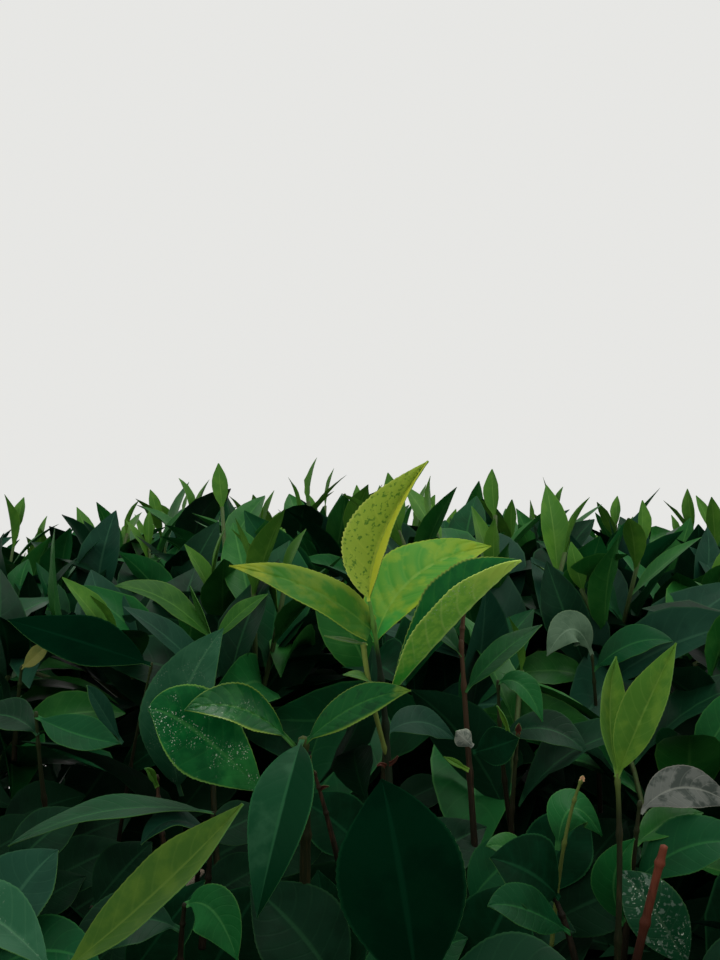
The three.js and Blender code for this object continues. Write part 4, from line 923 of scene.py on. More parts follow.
# The inner and shade skins below are painted shade, for leaves that lie deep under the table.
TABLE_SHOOTS = {  # stems and leaves as in SPRIGS
    "front": [
        ((-10, -27.8, -130.7), (-8.5, -25.8, -119.2), (-7.9, -22.8, -108)),
        ("deep", (-8.5, -22.8, -108), (-21.9, -19.8, -88.9), (-38.5, -12.8, -75.6), 15),
        ("darkest", (-7, -22.8, -111.2), (-13.3, -12.8, -93.1), (-17.4, -2.8, -74.1), 12),
        ("dark", (-8, -22.8, -109), (12, -18, -98), (30, -14, -92), 12),
    ],
    "front_left": [
        ((-58.1, -19.8, -134.6), (-57.6, -17.8, -122.9), (-57.2, -15.8, -113.6)),
        ("darkest", (-57.2, -15.8, -114.3), (-45.6, -11.8, -93.5), (-35.4, -3.8, -78.7), 14),
        ("inner", (-57.8, -18, -124), (-70, -14, -104), (-80, -6, -92), 13),
    ],
    "front_right": [
        ((26.7, -19.8, -134.6), (27.4, -17.8, -122.9), (28.1, -15.8, -113.6)),
        ("darkest", (28.1, -15.8, -114.3), (37.9, -11.8, -91.9), (47.6, -3.8, -78.7), 13),
        ("inner", (27.4, -17.8, -123), (14, -14, -106), (4, -6, -94), 12),
    ],
    "under_plucked": [
        ((50.5, 2.2, -112.2), (51.3, 4.2, -99.7), (52.2, 6.2, -88.1)),
        ("darkest", (52.2, 6.2, -88.8), (62.2, 12.2, -72.4), (73.2, 18.2, -62.3), 12),
        ("inner", (51.3, 4.2, -98), (74, 4, -86), (94, 6, -80), 12),
    ],
    "under_left_leaf": [
        ((-86.7, -27.8, -99.7), (-86.4, -25.8, -88.1), (-86.1, -23.8, -78.3)),
        ("inner", (-86.1, -23.8, -78.9), (-77.6, -19.8, -69.1), (-69.2, -13.8, -61.6), 9),
    ],
    "yellow": [
        ((-141, 96.2, -63), (-139.5, 94.2, -42.7), (-136.5, 92.2, -24.8)),
        ("yellow", (-136.5, 92.2, -25.6), (-130.5, 90.2, -20.6), (-124.9, 90.2, -15.1), 3.8, 12),
    ],
    "behind_stem": [
        ((4, 34.2, -62), (4.4, 33.2, -50), (4.8, 32.2, -38)),
        ("blue", (4.8, 32.2, -38.3), (17.4, 42.2, -36), (30.6, 52.2, -44.7), 7, 8, (0, -0.7, 0.7)),
    ],
    "front_twig": [
        ((6, 14, -125), (4, 13, -100), (2.1, 12.2, -78)),
        ("darkest", (2.1, 12.2, -78.5), (-11.3, 18.2, -65.7), (-25.1, 24.2, -58.9), 11),
        ("deep", (3.2, 12.7, -90), (22, 20, -76), (40, 30, -70), 11, 12),
        ("inner", (-40.6, 12.2, -84.2), (-27.5, 18.2, -74.3), (-11.4, 24.2, -69.3), 9),
    ],
    "scales": [
        ((-11, 0.2, -71.8), (-14.9, -0.8, -55.2), (-18.7, -1.8, -42.2)),
        ("bud_scale", (-18.7, -1.8, -43.1), (-19.9, -2.8, -40.3), (-19.6, -2.8, -36.7), 0.9, 30,
         (0, -0.9, 0.3)),
        ("bud_scale", (-16.8, -0.8, -48.6), (-15.6, -2, -47.4), (-13.8, -2.8, -46.9), 0.8, 30,
         (0, -0.9, 0.3)),
    ],
    "under_sprig": [
        ((30, 4, -125), (31, 3, -105), (31.4, 2.2, -87)),
        ("dark", (31.4, 2.2, -87.4), (42, 4.2, -75.8), (55, 8.2, -69.4), 10),
        ("deep", (31, 3, -100), (48, -6, -92), (64, -14, -90), 12),
    ],
    "under_left": [
        ((-122, 2, -120), (-121, 2, -98), (-119.7, 2.2, -79)),
        ("deep", (-119.7, 2.2, -79.1), (-108, 4.2, -65.9), (-94.7, 8.2, -58.4), 9),
    ],
    "low_front": [
        ((-72, -69, -120), (-70, -68, -100), (-68.3, -67.8, -84)),
        ("darkest", (-68.3, -67.8, -84.3), (-58.9, -65.8, -71.2), (-47.2, -59.8, -57.9), 8),
        ("inner", (-70, -68, -98), (-86, -66, -86), (-98, -60, -80), 9),
        ("deep", (-69, -68, -94), (-54, -72, -90), (-38, -78, -92), 10),
    ],
    "far_left": [
        ((-98.8, 82.2, -103), (-92.4, 76.2, -60.4), (-82.3, 72.2, -20)),
        ("shade", (-82.3, 72.2, -21), (-109, 79.2, -13.8), (-140.5, 87.2, -6), 12, 10, (0, -0.6, 0.8)),
        ("blue", (-93.3, 69.2, -50), (-100, 62.2, -35), (-104, 58.2, -26), 4.5, 12, (0.6, -0.6, 0.5)),
    ],
    "left": [
        ((-107.5, 27.2, -94.6), (-113.4, 24.2, -55.4), (-114, 22.2, -28)),
        ("dark", (-114, 22.2, -29.8), (-98.5, 16.2, -34.5), (-83.7, 12.2, -36.5), 7.5, 14,
         (0.1, -0.65, 0.75)),
        ("deep", (-113.5, 22.2, -36), (-124, 24.2, -30), (-137, 27.2, -32), 8, 12, (0, -0.5, 0.9)),
    ],
    "broken": [
        ((-66.7, 12.2, -89.3), (-70.6, 12.2, -65.6), (-71.5, 12.2, -47.1)),
        ("young", (-71.5, 11.8, -51), (-73, 9, -46), (-74.5, 6.5, -43.5), 1.6, 20, (0.3, -0.8, 0.4)),
    ],
    "low_left": [
        ((-52, -27.8, -90), (-50, -25.8, -68), (-48.5, -25.8, -48.6)),
        ("dark", (-48.5, -25.8, -49), (-78.9, -31.8, -46.5), (-108.5, -35.8, -55.9), 9, 8, (0, -0.1, 1)),
        ("blue", (-49, -25.8, -57), (-60, -29.8, -50), (-69, -35.8, -55.5), 5.5, 14, (0, -0.3, 1)),
    ],
    "bottom_left": [
        ((-52.1, -75.8, -95), (-52.6, -75.8, -71.4), (-50.4, -77.8, -58)),
        ("mid", (-50.1, -77.8, -58.5), (-42.5, -80, -59.5), (-35.9, -84, -71), 7, 12, (-0.2, -0.9, 0.4)),
        ("deep", (-52, -76, -66), (-66, -80, -62), (-80, -86, -70), 8, 14, (0.1, -0.7, 0.7)),
    ],
    "corner": [
        ((-104, -95.8, -95), (-103, -95.8, -80), (-99.3, -95.8, -66)),
        ("blue", (-99.3, -97, -66.6), (-91, -92.8, -50.5), (-82.2, -85.8, -41.2), 11, 14,
         (-0.3, -0.8, 0.5)),
        ("dark", (-101, -96, -72), (-84, -98, -63), (-68, -102, -66), 9, 12, (0.2, -0.7, 0.7)),
    ],
    "bottom": [
        ((13, -118, -95), (12, -122, -78), (9.8, -127, -64)),
        ("shade", (9.8, -127.5, -64.8), (6, -117, -38.8), (1.5, -99, -19.2), 15.5, 10, (-0.1, -0.9, 0.45)),
        ("deep", (11, -124, -70), (30, -128, -58), (48, -130, -60), 11, 12, (0.1, -0.6, 0.8)),
    ],
    "bud": [
        ((45.5, 12.2, -95), (46.5, 10.2, -52), (48.2, 8.2, -32.1)),
        ("sprig_bright", (45.4, 9, -33), (43.9, 8.2, -27.8), (41.1, 7.5, -22.9), 1.1, 35,
         (-0.5, -0.8, 0.2)),
        ("bud_scale", (48.2, 8.2, -32.4), (48.2, 7.8, -30.6), (48.5, 7.8, -28.7), 1.2, 25, (0, -1, 0.2)),
    ],
    "behind_bud": [
        ((53.5, 44.2, -93.4), (46.1, 44.2, -57.3), (45.1, 42.2, -21)),
        ("mid", (45.1, 42.2, -22), (53.2, 39.2, -22.5), (60, 35.2, -34.4), 5.5, 14, (0.3, -0.7, 0.6)),
        ("deep", (46, 43.5, -42), (62, 40, -38), (76, 36, -46), 8, 12, (0.1, -0.6, 0.8)),
    ],
    "low_right": [
        ((60.6, -42.8, -94.9), (57.4, -39.8, -73.7), (48.4, -29.8, -61.5)),
        ("fresh", (48.4, -30, -62.4), (41, -30, -58.5), (33.9, -32.8, -56.8), 5, 12, (0, -0.6, 0.8)),
        ("darkest", (55, -38, -71), (46, -42, -62), (34, -43.5, -57), 12, 10, (-0.1, -0.7, 0.7)),
        ("dark", (57.7, -41.5, -80), (43, -52, -69), (32, -57.8, -66), 7.5, 12, (-0.1, -0.7, 0.7)),
    ],
    "plucked": [
        ((54.7, -25.8, -90), (57.5, -26.8, -52), (63.3, -27.8, -37.9)),
        ("mid", (56.4, -25, -60.6), (61.5, -20.8, -49), (71.7, -15.8, -59), 7.5, 6, (-0.1, -0.6, 0.8)),
        ("cut_end", (63.2, -28, -38.4), (63.4, -28, -37.6), (63.6, -28, -36.8), 0.8, 5, (0, -1, 0.3)),
    ],
    "right": [
        ((71.3, -47.8, -95), (74.6, -47.8, -59.1), (76.7, -47.8, -39)),
        ("grey", (76.7, -47.8, -42.6), (90, -42.8, -36.5), (106.3, -39.8, -43.1), 7, 6, (0, -0.75, 0.65)),
        ("fresh", (75.6, -47.5, -52), (86, -41.8, -47), (98, -35.8, -46), 6, 12, (0, -0.5, 0.9)),
        ("mid", (72.6, -47.8, -75), (68.6, -51.8, -60.7), (73.8, -54.5, -47.9), 6.5, 14, (-0.4, -0.8, 0.4)),
        ("dark", (74.2, -47.8, -64), (90.2, -51.8, -51), (107, -55.8, -50), 9.5, 12, (0, -0.6, 0.8)),
    ],
    "near_corner": [
        ((87.4, -75.8, -110), (86.8, -75.8, -92), (84.3, -76.8, -76.5)),
        ("mottled", (84.3, -76.8, -77.3), (75, -76.5, -61), (66.1, -71.8, -51.4), 8, 12,
         (-0.35, -0.8, 0.5)),
        ("deep", (85.3, -76.3, -85), (98, -80, -74), (112, -86, -76), 9, 12, (0.1, -0.7, 0.7)),
    ],
    "far_right": [
        ((98.3, 134.2, -95), (96.8, 132.2, -55), (94.1, 132.2, -27)),
        ("pale", (94.1, 132.2, -27.3), (85.3, 130.2, -16), (74, 124.2, -26.4), 8.5, 8, (-0.1, -0.8, 0.6)),
        ("dark", (94.8, 132.2, -34), (110, 128, -22), (126, 122, -20), 9, 12, (0, -0.6, 0.8)),
    ],
}
mass_nodes = [f"foliage_{place}" for place in masses]
for shoot_name, shoot in TABLE_SHOOTS.items():
    looks = TABLE_STEMS.get(shoot_name, (TABLE_STEM_RADIUS, table_stem))
    add_sprig(f"table_{shoot_name}", shoot, "foliage", mass_nodes, *looks)
INSIDE_BLADE = (20, 6)
INSIDE_STEM = (-2, 3, -28)  # from the leaf down to the stem's foot
INSIDE_LEAVES = [  # leaves low between the shoots: start, middle, tip and half width
    ([-79, 92, -112], [-57, 102, -101], [-35, 112, -93], 14),
    ([-43, 92, -116], [-21, 102, -108], [1, 112, -104], 13),
    ([-126, 82, -97], [-111, 92, -91], [-96, 102, -88], 11),
    ([-142, 76, -84], [-128, 84, -79], [-112, 92, -76], 11),
    ([78, 72, -103], [90, 82, -93], [101, 92, -86], 10),
    ([97, 12, -111], [109, 18, -102], [118, 24, -92], 10),
    ([-114, 32, -109], [-103, 38, -101], [-91, 44, -96], 11),
    ([-13, 32, -123], [-1, 38, -117], [10, 44, -113], 9),
    ([8, 112, -88], [21, 120, -83], [34, 128, -80], 8),
    ([-61, 42, -78], [-48, 50, -75], [-38, 58, -71], 9),
    ([81, 132, -108], [100, 142, -106], [119, 152, -106], 12),
    ([25, 42, -116], [35, 50, -107], [45, 58, -98], 12),
    ([-113, 12, -87], [-100, 19, -80], [-84, 26, -75], 10),
    ([-61, 22, -96], [-47, 28, -88], [-33, 34, -83], 9),
    ([-94, -8, -111], [-86, -3, -101], [-77, 2, -94], 9),
    ([23, 24, -96], [33, 30, -87], [43, 36, -79], 8),
    ([-132, 12, -76], [-122, 18, -71], [-111, 24, -66], 9),
    ([-114, 2, -92], [-106, 8, -86], [-96, 14, -82], 8),
]
# These low leaves take the near-black inner skin: painted shade among the shoots.
for number, (start, middle, tip, half) in enumerate(INSIDE_LEAVES):
    foot = np.array(start) + INSIDE_STEM
    rows = [(foot, mix(foot, np.array(start), 0.6), np.array(start)), ("inner", start, middle, tip, half)]
    looks = (TABLE_STEM_RADIUS, table_stem)
    add_sprig(f"inside_{number + 1}", rows, "foliage", mass_nodes, *looks, INSIDE_BLADE)
add_stem(
    "dead_twig", ((60, -91.8, -100), (68, -93.8, -58), (72.7, -95.8, -37)), (1.3, 1.0), dead_wood,
    mass_nodes, (0.3, 0.6, 0.9), 0.4,
)
add_stem(
    "thin_twig", ((31, 27.6, -10), (31, 30, 6), (35.1, 34.2, 19)), (0.9, 0.5), brown_stem,
    mass_nodes, (0.3, 0.97), 0.3,
)


# The twigs of the crown.
# From the tip of its limb each mass forks again and again, by the rule that the limbs follow, down to green
# shoots that end at the plucked table or on the crown's side. Pluckers break a shoot off above a leaf, so
# most end short.
STEP_OUT = 0.7548776662
STEP_ROUND = 0.569840291
SHOOTS_ON_TABLE = 112
SHOOTS_ON_SIDE = 44
SHOOT_INSET = 7
SHOOT_BELOW_TABLE = 14
SIDE_FOOT = 470
UNDERCUT = 80
LEAF_REACH = 64
HOLLOW_AT = (0, -405)  # the table is lower here: the shoots that show were broken off further down
HOLLOW_SPAN = 120
HOLLOW_DEPTH = 36
FLUSH_SHARE = 0.12
FLUSH_PATCH = 0.5
FLUSH_PATCH_SIZE = 190
FLUSH_RISE = (14, 52)
FLUSH_ABOVE = 680
SHOOT_SCATTER = 4
FORK_SHARE = 0.5
FORK_RISE = 0.25
TWIG_RADIUS = 5
TWIG_TAPER = 0.8
TWIG_TIP_RADIUS = 1.1
BEND_AT = 0.45  # share of a twig's length at which it bends
BEND_TURN = 0.5
SIDE_SHARE = 0.97
STEM_SUNK = 4
STEM_REACH = 1.5
random = np.random.default_rng(7)


def even(count, step):
    """Numbers from -1 to 1 that fill it evenly: whole steps of a fixed irrational size, wrapped."""
    return 2 * ((0.5 + np.arange(count) * step) % 1) - 1


def hollow(places):
    """How far places are into the hollow: 1 in its middle, and a bell curve of the distance round it."""
    return bell(np.hypot(places[..., 0] - HOLLOW_AT[0], places[..., 1] - HOLLOW_AT[1]) / HOLLOW_SPAN)


def shoot_tips(mass):
    """Ends of a mass's shoots: even over the table, and over the crown's side where the mass has one."""
    out, around = even(SHOOTS_ON_TABLE, STEP_OUT), even(SHOOTS_ON_TABLE, STEP_ROUND)
    inner = mass["inner"] + SHOOT_INSET if mass["inner"] else 0
    radius = np.sqrt(mix(inner**2, (mass["shoulder"] - SHOOT_INSET) ** 2, (out + 1) / 2))
    half = mass["half"] if not mass["inner"] else mass["half"] - np.degrees(SHOOT_INSET / radius)
    table = polar(radius, mass["angle"] + around * half, table_height(radius) - SHOOT_BELOW_TABLE)
    table[:, 2] -= HOLLOW_DEPTH * hollow(table)
    if not mass["inner"]:
        return table
    down, around = (even(SHOOTS_ON_SIDE, STEP_OUT) + 1) / 2, even(SHOOTS_ON_SIDE, STEP_ROUND)
    height = mix(table_height(mass["shoulder"]) - 2 * SHOOT_BELOW_TABLE, SIDE_FOOT, down)
    angle = mass["angle"] + around * mass["half"] * SIDE_SHARE
    return np.concatenate([table, polar(mass["shoulder"] - UNDERCUT * down, angle, height)])


def branch(start, along, radius, tips, twigs):
    """The branching rule: the shoots' ends are halved across their longest spread, and a fork stands part
    of the way to the middle of each half, until each twig serves one shoot. Each leaves on a bend."""
    thinner = max(TWIG_TIP_RADIUS, radius * TWIG_TAPER)
    order = np.argsort(tips[:, np.argmax(np.ptp(tips, axis=0))], kind="stable")
    for part in (order[: len(order) // 2], order[len(order) // 2 :]):
        served = tips[part]
        end = served[0].copy()
        if len(part) > 1:
            middle = served.mean(axis=0)
            end = mix(start, middle, FORK_SHARE)
            end[2] = mix(start[2], middle[2], FORK_RISE)
        way = unit(mix(along, unit(end - start), BEND_TURN))
        bend = start + np.linalg.norm(end - start) * BEND_AT * way
        twigs.append((start, bend, end, radius, thinner, len(part)))
        if len(part) > 1:
            branch(end, unit(end - bend), thinner, served, twigs)


twigs = []
for mass in masses.values():
    tips = shoot_tips(mass)
    stem_top = mass["foot"] + mass["along"] * STEM_LENGTH * STEM_REACH
    stem = (mass["foot"] - STEM_SUNK * mass["along"], mass["foot"], stem_top)
    twigs.append((*stem, LIMB_RADIUS[1], TWIG_RADIUS, len(tips)))
    branch(stem_top, mass["along"], TWIG_RADIUS, tips, twigs)
twig_start, twig_bend, twig_end = (np.array([twig[k] for twig in twigs]) for k in range(3))
twig_radii = np.array([twig[3:5] for twig in twigs])
served = np.array([twig[5] for twig in twigs])
is_shoot = served == 1
patches = FLUSH_SHARE + FLUSH_PATCH * np.maximum(0, noise(twig_end / FLUSH_PATCH_SIZE, 5))
# Fewer shoots flush in the hollow, so few bright young leaves stand there: partly painted shade.
patches = patches * (1 - hollow(twig_end))
is_flush = is_shoot & (random.random(len(twigs)) < patches) & (twig_end[:, 2] > FLUSH_ABOVE)
twig_end[is_flush, 2] += random.uniform(*FLUSH_RISE, is_flush.sum())
twig_end[is_shoot] += random.normal(0, SHOOT_SCATTER, (is_shoot.sum(), 3))

# Generated twigs and leaves keep clear of the limbs, the leaves in plain sight, and the eye's view of them.
EYE = np.array([-3.87, -767.76, 872.7])
EYE_DOWN = 2.15
SIGHT_CLEAR = 4.5
SIGHT_SIDE = 170
SIGHT_END = 0.985
SIGHT_PARTS = 80  # rows are dealt with in so many parts, to save memory
LEAF_CLEAR = 4
CLEAR_FROM = 0.35  # share of a shoot's length from which it has to be clear
CLEAR_STEPS = 6
shown = np.concatenate(shown_points)
balls = np.concatenate([np.array(kept_balls), np.column_stack([shown, np.full(len(shown), LEAF_CLEAR)])])


def is_clear(points):
    """Which rows of points, things by points by three, are clear of each ball and of the lines of sight."""
    clear = np.ones(len(points), bool)
    sight = shown - EYE
    for part in np.array_split(np.arange(len(points)), SIGHT_PARTS):
        flat = points[part].reshape(-1, 3)
        free = (np.linalg.norm(flat[:, None] - balls[None, :, :3], axis=-1) > balls[None, :, 3]).all(axis=1)
        ahead = free & (flat[:, 1] < shown[:, 1].max()) & (np.abs(flat[:, 0]) < SIGHT_SIDE)
        share = np.clip((flat[ahead] - EYE) @ sight.T / (sight**2).sum(axis=1), 0, 1)
        off = np.linalg.norm(flat[ahead, None] - EYE - share[..., None] * sight, axis=-1)
        free[ahead] = ((off > SIGHT_CLEAR) | (share > SIGHT_END)).all(axis=1)
        clear[part] = free.reshape(len(part), points.shape[1]).all(axis=1)
    return clear


t = np.linspace(CLEAR_FROM, 1, CLEAR_STEPS)
shoot_clear = is_clear(bow(twig_start[:, None], twig_bend[:, None], twig_end[:, None], t))


# The leaves of the crown.
# Leathery blades spiral up each shoot, darker and larger the older they are. Where a shoot has grown since
# the last plucking its top leaves are thin and yellow-green. A few old ones dry out and turn brown. Leaves
# deep in the crown and in the hollow under the tall shoot get the darkest colours: painted shade.
LEAF_TURN = 144
TURN_SCATTER = 0.25
TILT_SCATTER = 8
FOOT_MARGIN = 6
LEAF_PLACES = (1.5, 9, 18, 29, 41, 54, 68, 83, 99)  # millimetres down the shoot from its end
LEAF_TILTS = (40, 52, 61, 68, 74, 80, 86, 86, 86)  # degrees from the shoot, from its top leaf down
FLUSH_TILTS = (10, 26, 42, 58, 68, 76, 84, 84, 84)
INNER_RANK = 6  # leaves from this one down the shoot are inside the crown
INNER_PLACES = (4, 9, 15, 21, 28, 35, 43, 51, 60, 69, 79, 89)  # and down the twigs inside the crown
INNER_TILT = 78
INNER_SERVES = 24  # a twig that serves more shoots than this is bare
OLD_LENGTH = (70, 8)
LENGTH_LIMITS = (50, 88)
TOP_LENGTH_SHARE = 0.78
FLUSH_LENGTHS = (30, 44, 56)
YOUNG_SPREAD = (0.8, 1.15)
LEAF_SLIMNESS = (0.19, 0.225)  # half width over length
YOUNG_SLIMMER = 0.82
ARCH = (0.02, 0.09)  # shares of the length
DROOP = (-0.02, 0.24)
YOUNG_ARCH = 0.6  # of an old leaf's
YOUNG_DROOP = 0.2
WAY_RISE = 0.12
LEAF_ROLL = 0.3
SIDE_SPREAD = (0.92, 1.06)
CURL = (8, 16)
RISE_TO_LIGHT = 0.7
OUTER_MARGIN = 12
DRY_BELOW = 670
NO_DRY = 0.955  # above DRY_BELOW the kinds are dealt from this part of LEAF_SHARES
# In the hollow under the tall shoot the kinds are dealt from the darker part only: painted shade.
HOLLOW_SHADE_KINDS = 0.48  # and in the hollow from this part
HOLLOW_WITHIN = 0.3
SIDE_MARGIN = 75
FRESH_SHARE = 0.28


def leaves_along(lines, places, tilts, random):
    """Roots, directions, spiral numbers and twig numbers of the leaves at given distances down each twig
    from its end. lines has the twigs' starts, bends and ends."""
    start, bend, end = (part[:, None] for part in lines)
    length = np.linalg.norm(end - start, axis=-1)
    t = np.clip(1 - np.array(places) / length, 0.02, 1)
    root = bow(start, bend, end, t)
    along = unit(mix(bend - start, end - bend, t[..., None]))
    first = random.uniform(0, 2 * np.pi, (len(start), 1))
    turn = first + np.radians(LEAF_TURN) * np.arange(len(places)) + random.normal(0, TURN_SCATTER, t.shape)
    side = unit(np.cross(along, [0.31, 0.95, 0.02]))
    out = np.cos(turn)[..., None] * side + np.sin(turn)[..., None] * np.cross(along, side)
    tilt = np.radians(tilts + random.normal(0, TILT_SCATTER, t.shape))[..., None]
    way = np.cos(tilt) * along + np.sin(tilt) * out
    enough = np.array(places) < length + FOOT_MARGIN
    rank = np.broadcast_to(np.arange(len(places)), t.shape)
    twig = np.broadcast_to(np.arange(len(start))[:, None], t.shape)
    return [part[enough] for part in (root, along, way, rank, twig)]


def grown_leaves(root, along, way, rank, young, random):
    """Sizes of leaves for blade_points: each lies along its way from its root, its face turned to the
    light, and arches and droops by a share of its length."""
    count = len(root)
    length = np.clip(random.normal(*OLD_LENGTH, count), *LENGTH_LIMITS)
    length = np.where(rank <= 1, length * TOP_LENGTH_SHARE, length)
    young_length = np.take(FLUSH_LENGTHS, np.minimum(rank, 2)) * random.uniform(*YOUNG_SPREAD, count)
    length = np.where(young, young_length, length)
    half = length * random.uniform(*LEAF_SLIMNESS, count) * np.where(young, YOUNG_SLIMMER, 1)
    way = unit(way + WAY_RISE * UP * random.random(count)[:, None])
    face = along - (along * way).sum(axis=1, keepdims=True) * way
    face = face + RISE_TO_LIGHT * (UP - way[:, 2:] * way)
    roll = random.normal(0, LEAF_ROLL, (count, 1))
    face = unit(np.cos(roll) * unit(face) + np.sin(roll) * np.cross(way, unit(face)))
    arch = length * random.uniform(*ARCH, count) * np.where(young, YOUNG_ARCH, 1)
    droop = length * random.uniform(*DROOP, count) * np.where(young, YOUNG_DROOP, 1)
    return {
        "start": root,
        "middle": root + way * length[:, None] * 0.5 + face * arch[:, None],
        "tip": root + way * length[:, None] * 0.97 - face * droop[:, None],
        "face": face,
        "left_half": half * random.uniform(*SIDE_SPREAD, count),
        "right_half": half * random.uniform(*SIDE_SPREAD, count),
        "fold": random.uniform(6, 34, count),
        "fold_tip": random.uniform(4, 20, count),
        "left_curl": random.normal(*CURL, count),
        "right_curl": random.normal(*CURL, count),
        "twist": random.normal(0, 14, count),
        "ripple": random.uniform(0.0, 0.1, count),
        "waves": random.uniform(1.5, 3.2, count),
        "phase": random.uniform(0, 6, count),
        "stalk": np.full(count, 0.07),
        "teeth": np.full(count, 26.0),
        "bite": np.full(count, 0.0),
    }


def make_leaves(name, leaves, picked, steps, skin):
    """The picked leaves, one skin thick, as one piece."""
    surfaces, places = blade_points({key: value[picked] for key, value in leaves.items()}, *steps)
    faces = repeated(grid_quads(steps[0] + 1, steps[1] + 1), len(picked), (steps[0] + 1) * (steps[1] + 1))
    uv = places.reshape(-1, 2)
    make_piece(f"leaves_{name}", surfaces[0].reshape(-1, 3), [faces], [skin], mass_nodes, uv)


groups = []
for bearing, places, tilts in (
    (is_shoot & ~is_flush, LEAF_PLACES, np.array(LEAF_TILTS)),
    (is_flush, LEAF_PLACES, np.array(FLUSH_TILTS)),
    (~is_shoot & (served <= INNER_SERVES), INNER_PLACES, np.full(len(INNER_PLACES), INNER_TILT)),
):
    numbers = np.flatnonzero(bearing)
    lines = (twig_start[numbers], twig_bend[numbers], twig_end[numbers])
    found = leaves_along(lines, places, tilts, random)
    found[4] = numbers[found[4]]
    groups.append(found)
groups[2][3] = groups[2][3] + len(LEAF_PLACES)
root, along, way, rank, twig = (np.concatenate(parts) for parts in zip(*groups))
young = is_flush[twig] & (rank < len(FLUSH_LENGTHS))
count = len(root)
crown = grown_leaves(root, along, way, rank, young, random)
sample, _ = blade_points(crown, 4, 2)
sample = sample[0].reshape(count, -1, 3)
spread = np.hypot(sample[..., 0], sample[..., 1])
inside = (spread < CROWN_RADIUS - OUTER_MARGIN).all(axis=1)
inside &= (sample[..., 2] < table_height(spread) + LEAF_REACH).all(axis=1)
inside &= (sample[..., 2] > SIDE_FOOT - SIDE_MARGIN).all(axis=1)
inside &= shoot_clear[twig] | ~is_shoot[twig]
ready = np.flatnonzero(inside)
ready = ready[is_clear(sample[ready])]
shade = random.random(count)
fresh = young & (rank == 2) | ~young & (rank <= 1) & (shade > 1 - FRESH_SHARE) & is_shoot[twig]
LEAF_SHARES = {  # of the old leaves outside, each with those before it
    "darkest": 0.1, "deep": 0.36, "blue": 0.54, "dark": 0.8, "mid": 0.96, "dry": 1.0,
}
dealt = random.random(count)
# In the hollow only the darker kinds are dealt, and no leaf there is fresh: painted shade.
hollow_shade = hollow(root)
part_dealt = np.where(root[:, 2] > DRY_BELOW, NO_DRY, 1)
dealt = dealt * np.where(hollow_shade > HOLLOW_WITHIN, HOLLOW_SHADE_KINDS, part_dealt)
fresh &= hollow_shade < HOLLOW_WITHIN
# Leaves from INNER_RANK down a shoot, and those on the twigs inside, take the near-black inner skin:
# painted shade.
inner = rank >= INNER_RANK
kinds = {"inner": inner, "fresh": fresh, "young": young & ~fresh}
low = 0.0
for name, high in LEAF_SHARES.items():
    kinds[name] = ~young & ~fresh & ~inner & (dealt >= low) & (dealt < high)
    low = high
COARSE = (8, 4)
INNER_COARSE = (7, 2)
INNER_CLOSE = (12, 4)
CLOSE = (26, 6)
CLOSE_REACH = 430
CLOSE_SIDE = 190
CLOSE_BITE = 0.05
close_by = np.zeros(count, bool)
close_by[ready] = np.linalg.norm(crown["start"][ready] - EYE, axis=1) < CLOSE_REACH
close_by &= np.abs(crown["start"][:, 0]) < CLOSE_SIDE
crown["bite"][close_by] = CLOSE_BITE
is_ready = np.zeros(count, bool)
is_ready[ready] = True
for name, chosen in kinds.items():
    far_steps, near_steps = (INNER_COARSE, INNER_CLOSE) if name == "inner" else (COARSE, CLOSE)
    for suffix, steps, part in (("", far_steps, ~close_by), ("_near", near_steps, close_by)):
        picked = np.flatnonzero(chosen & part & is_ready)
        if len(picked):
            make_leaves(name + suffix, crown, picked, steps, skins[name])

# The twigs that carry them. A shoot that would stand bare is left out.
TWIG_RINGS = 4
TWIG_SIDES = 5
LEAST_LEAVES = 3
carried = np.bincount(twig[ready], minlength=len(twigs))
kept = ~is_shoot | shoot_clear & (carried >= LEAST_LEAVES)
t = np.linspace(0, 1, TWIG_RINGS)
twig_lines = bow(twig_start[:, None], twig_bend[:, None], twig_end[:, None], t)
twig_sizes = mix(twig_radii[:, :1], twig_radii[:, 1:], t[None])
brown_wood = bark_material("twig_bark", (150, 115, 85), (45, 33, 24), (260, 260, 200), 0.5)
green_wood = stem_material("crown_twig", (45, 42, 22), (45, 78, 24), 600, 780, (50, 34, 20))

# Low shoots with old leaves grow from the nearest fork under the hollow, and close it below. Their leaves
# take the near-black inner skin: painted shade.
LOW_SHOOTS = 80
LOW_SPREAD = 185
LOW_TOP = 672
LOW_AT = np.array([0, -325, 0])
LOW_PLACES = tuple(range(3, 150, 8))  # millimetres down each twig from its end
LOW_BELOW = 95  # millimetres under the tall shoot's joint, where these leaves begin
LOW_WITHIN = 0.05
LOW_FORK_BELOW = 20
LOW_SAG = 0.1  # share of their length
low_random = np.random.default_rng(8)
out, around = (even(LOW_SHOOTS, STEP_OUT) + 1) / 2, even(LOW_SHOOTS, STEP_ROUND)
low_end = LOW_AT + polar(LOW_SPREAD * np.sqrt(out), 180 * around, LOW_TOP)
forks = twig_end[~is_shoot & (twig_end[:, 2] < LOW_TOP - LOW_FORK_BELOW)]
low_start = forks[np.argmin(np.linalg.norm(low_end[:, None] - forks, axis=-1), axis=1)]
sag = LOW_SAG * np.linalg.norm(low_end - low_start, axis=1)[:, None] * UP
low_shoots = (low_start, mix(low_start, low_end, 0.5) - sag, low_end)
low_lines = bow(*(part[:, None] for part in low_shoots), t)
low_sizes = np.tile(mix(TWIG_RADIUS / 3, TWIG_TIP_RADIUS, t), (LOW_SHOOTS, 1))
whole = np.flatnonzero(kept & (served <= INNER_SERVES) & (hollow(twig_end) > LOW_WITHIN))
all_twigs = (twig_start, twig_bend, twig_end)
lines = [np.concatenate([low, part[whole]]) for low, part in zip(low_shoots, all_twigs)]
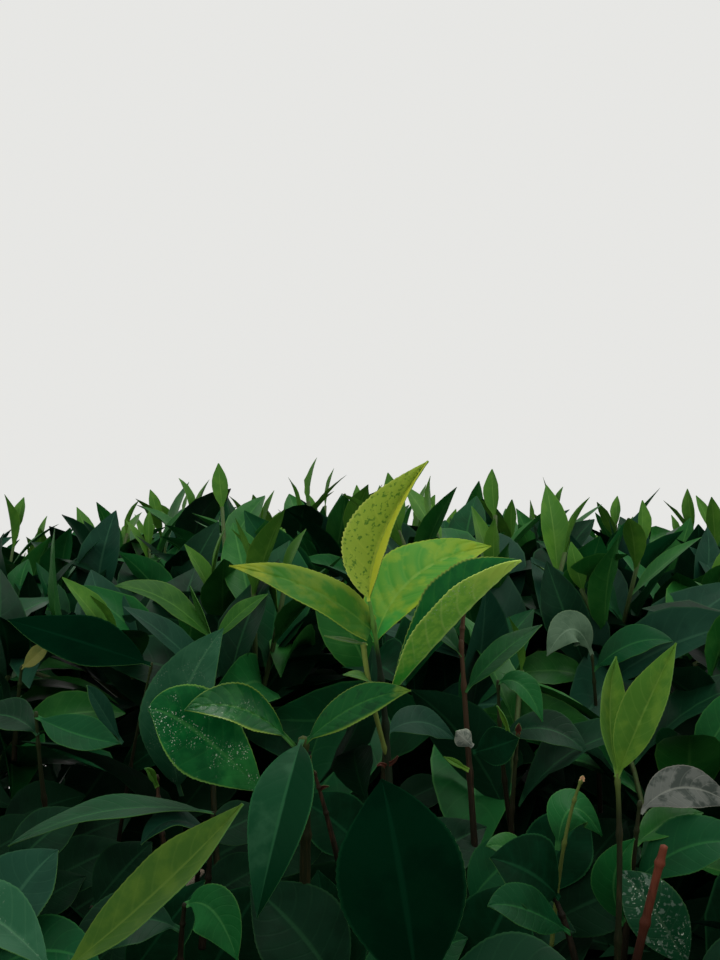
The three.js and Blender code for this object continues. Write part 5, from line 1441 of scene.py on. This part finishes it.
found = leaves_along(lines, LOW_PLACES, np.full(len(LOW_PLACES), INNER_TILT), low_random)
low_leaves = grown_leaves(*found[:3], found[3] + INNER_RANK, np.zeros(len(found[0]), bool), low_random)
sample = blade_points(low_leaves, 4, 2)[0][0].reshape(len(found[0]), -1, 3)
under = np.flatnonzero((sample[..., 2] < SHOOT[2] - LOW_BELOW).all(axis=1))
make_leaves("low", low_leaves, under[is_clear(sample[under])], INNER_CLOSE, skins["inner"])
for name, lines, sizes, skin in (
    ("twigs_wood", twig_lines[kept & ~is_shoot], twig_sizes[kept & ~is_shoot], brown_wood),
    ("twigs_green", twig_lines[kept & is_shoot], twig_sizes[kept & is_shoot], green_wood),
    ("twigs_low", low_lines, low_sizes, green_wood),
):
    faces = tube_faces(len(lines), TWIG_RINGS, TWIG_SIDES)
    make_piece(name, tubes(lines, sizes, TWIG_SIDES), faces, [skin], mass_nodes)


# The studio.
# A wide pale floor and pale air all round, a large soft light over the bush and two weaker ones beside it.
FLOOR_RADIUS = 9.0
FLOOR_SIDES = 96
angle = np.linspace(0, 2 * np.pi, FLOOR_SIDES, False)
floor_mesh = bpy.data.meshes.new("floor")
rim = np.stack([FLOOR_RADIUS * np.cos(angle), FLOOR_RADIUS * np.sin(angle), 0 * angle], axis=-1)
floor_mesh.from_pydata(rim.tolist(), [], [list(range(FLOOR_SIDES))])
floor = bpy.data.objects.new("floor", floor_mesh)
bpy.context.scene.collection.objects.link(floor)
floor_paint, _, floor_shader = new_material("floor_paint", 0.9)
floor_shader.inputs["Base Color"].default_value = (0.80, 0.79, 0.77, 1)
floor_mesh.materials.append(floor_paint)
world = bpy.data.worlds.new("air")
world.use_nodes = True
world.node_tree.nodes["Background"].inputs["Color"].default_value = (0.84, 0.84, 0.82, 1)
world.node_tree.nodes["Background"].inputs["Strength"].default_value = 0.95
bpy.context.scene.world = world
for name, place, size, power, colour in (
    ("key", (0.7, -0.1, 2.9), 1.8, 32, (1.0, 0.98, 0.94)),
    ("left_fill", (-1.6, -2.4, 1.7), 2.0, 24, (0.98, 0.99, 1.0)),
    ("right_fill", (2.2, -1.8, 1.5), 2.0, 14, (1.0, 0.99, 0.97)),
):
    light = bpy.data.lights.new(name, "AREA")
    light.shape = "DISK"
    light.size = size
    light.energy = power
    light.color = colour
    lamp = bpy.data.objects.new(name, light)
    lamp.location = place
    lamp.rotation_euler = (Vector((0, 0, 0.6)) - Vector(place)).to_track_quat("-Z", "Y").to_euler()
    lamp.visible_camera = False
    lamp.visible_glossy = name == "key"
    bpy.context.scene.collection.objects.link(lamp)
bpy.context.scene.view_settings.view_transform = "Standard"

# The eye: a 50 mm lens on a 36 mm film side, level but for a slight look down.
camera = bpy.data.objects.new("eye", bpy.data.cameras.new("eye"))
camera.data.lens = 50
camera.data.sensor_width = 36
camera.location = Vector(EYE * MM)
camera.rotation_euler = (np.radians(90 - EYE_DOWN), 0, 0)
bpy.context.scene.collection.objects.link(camera)
bpy.context.scene.camera = camera
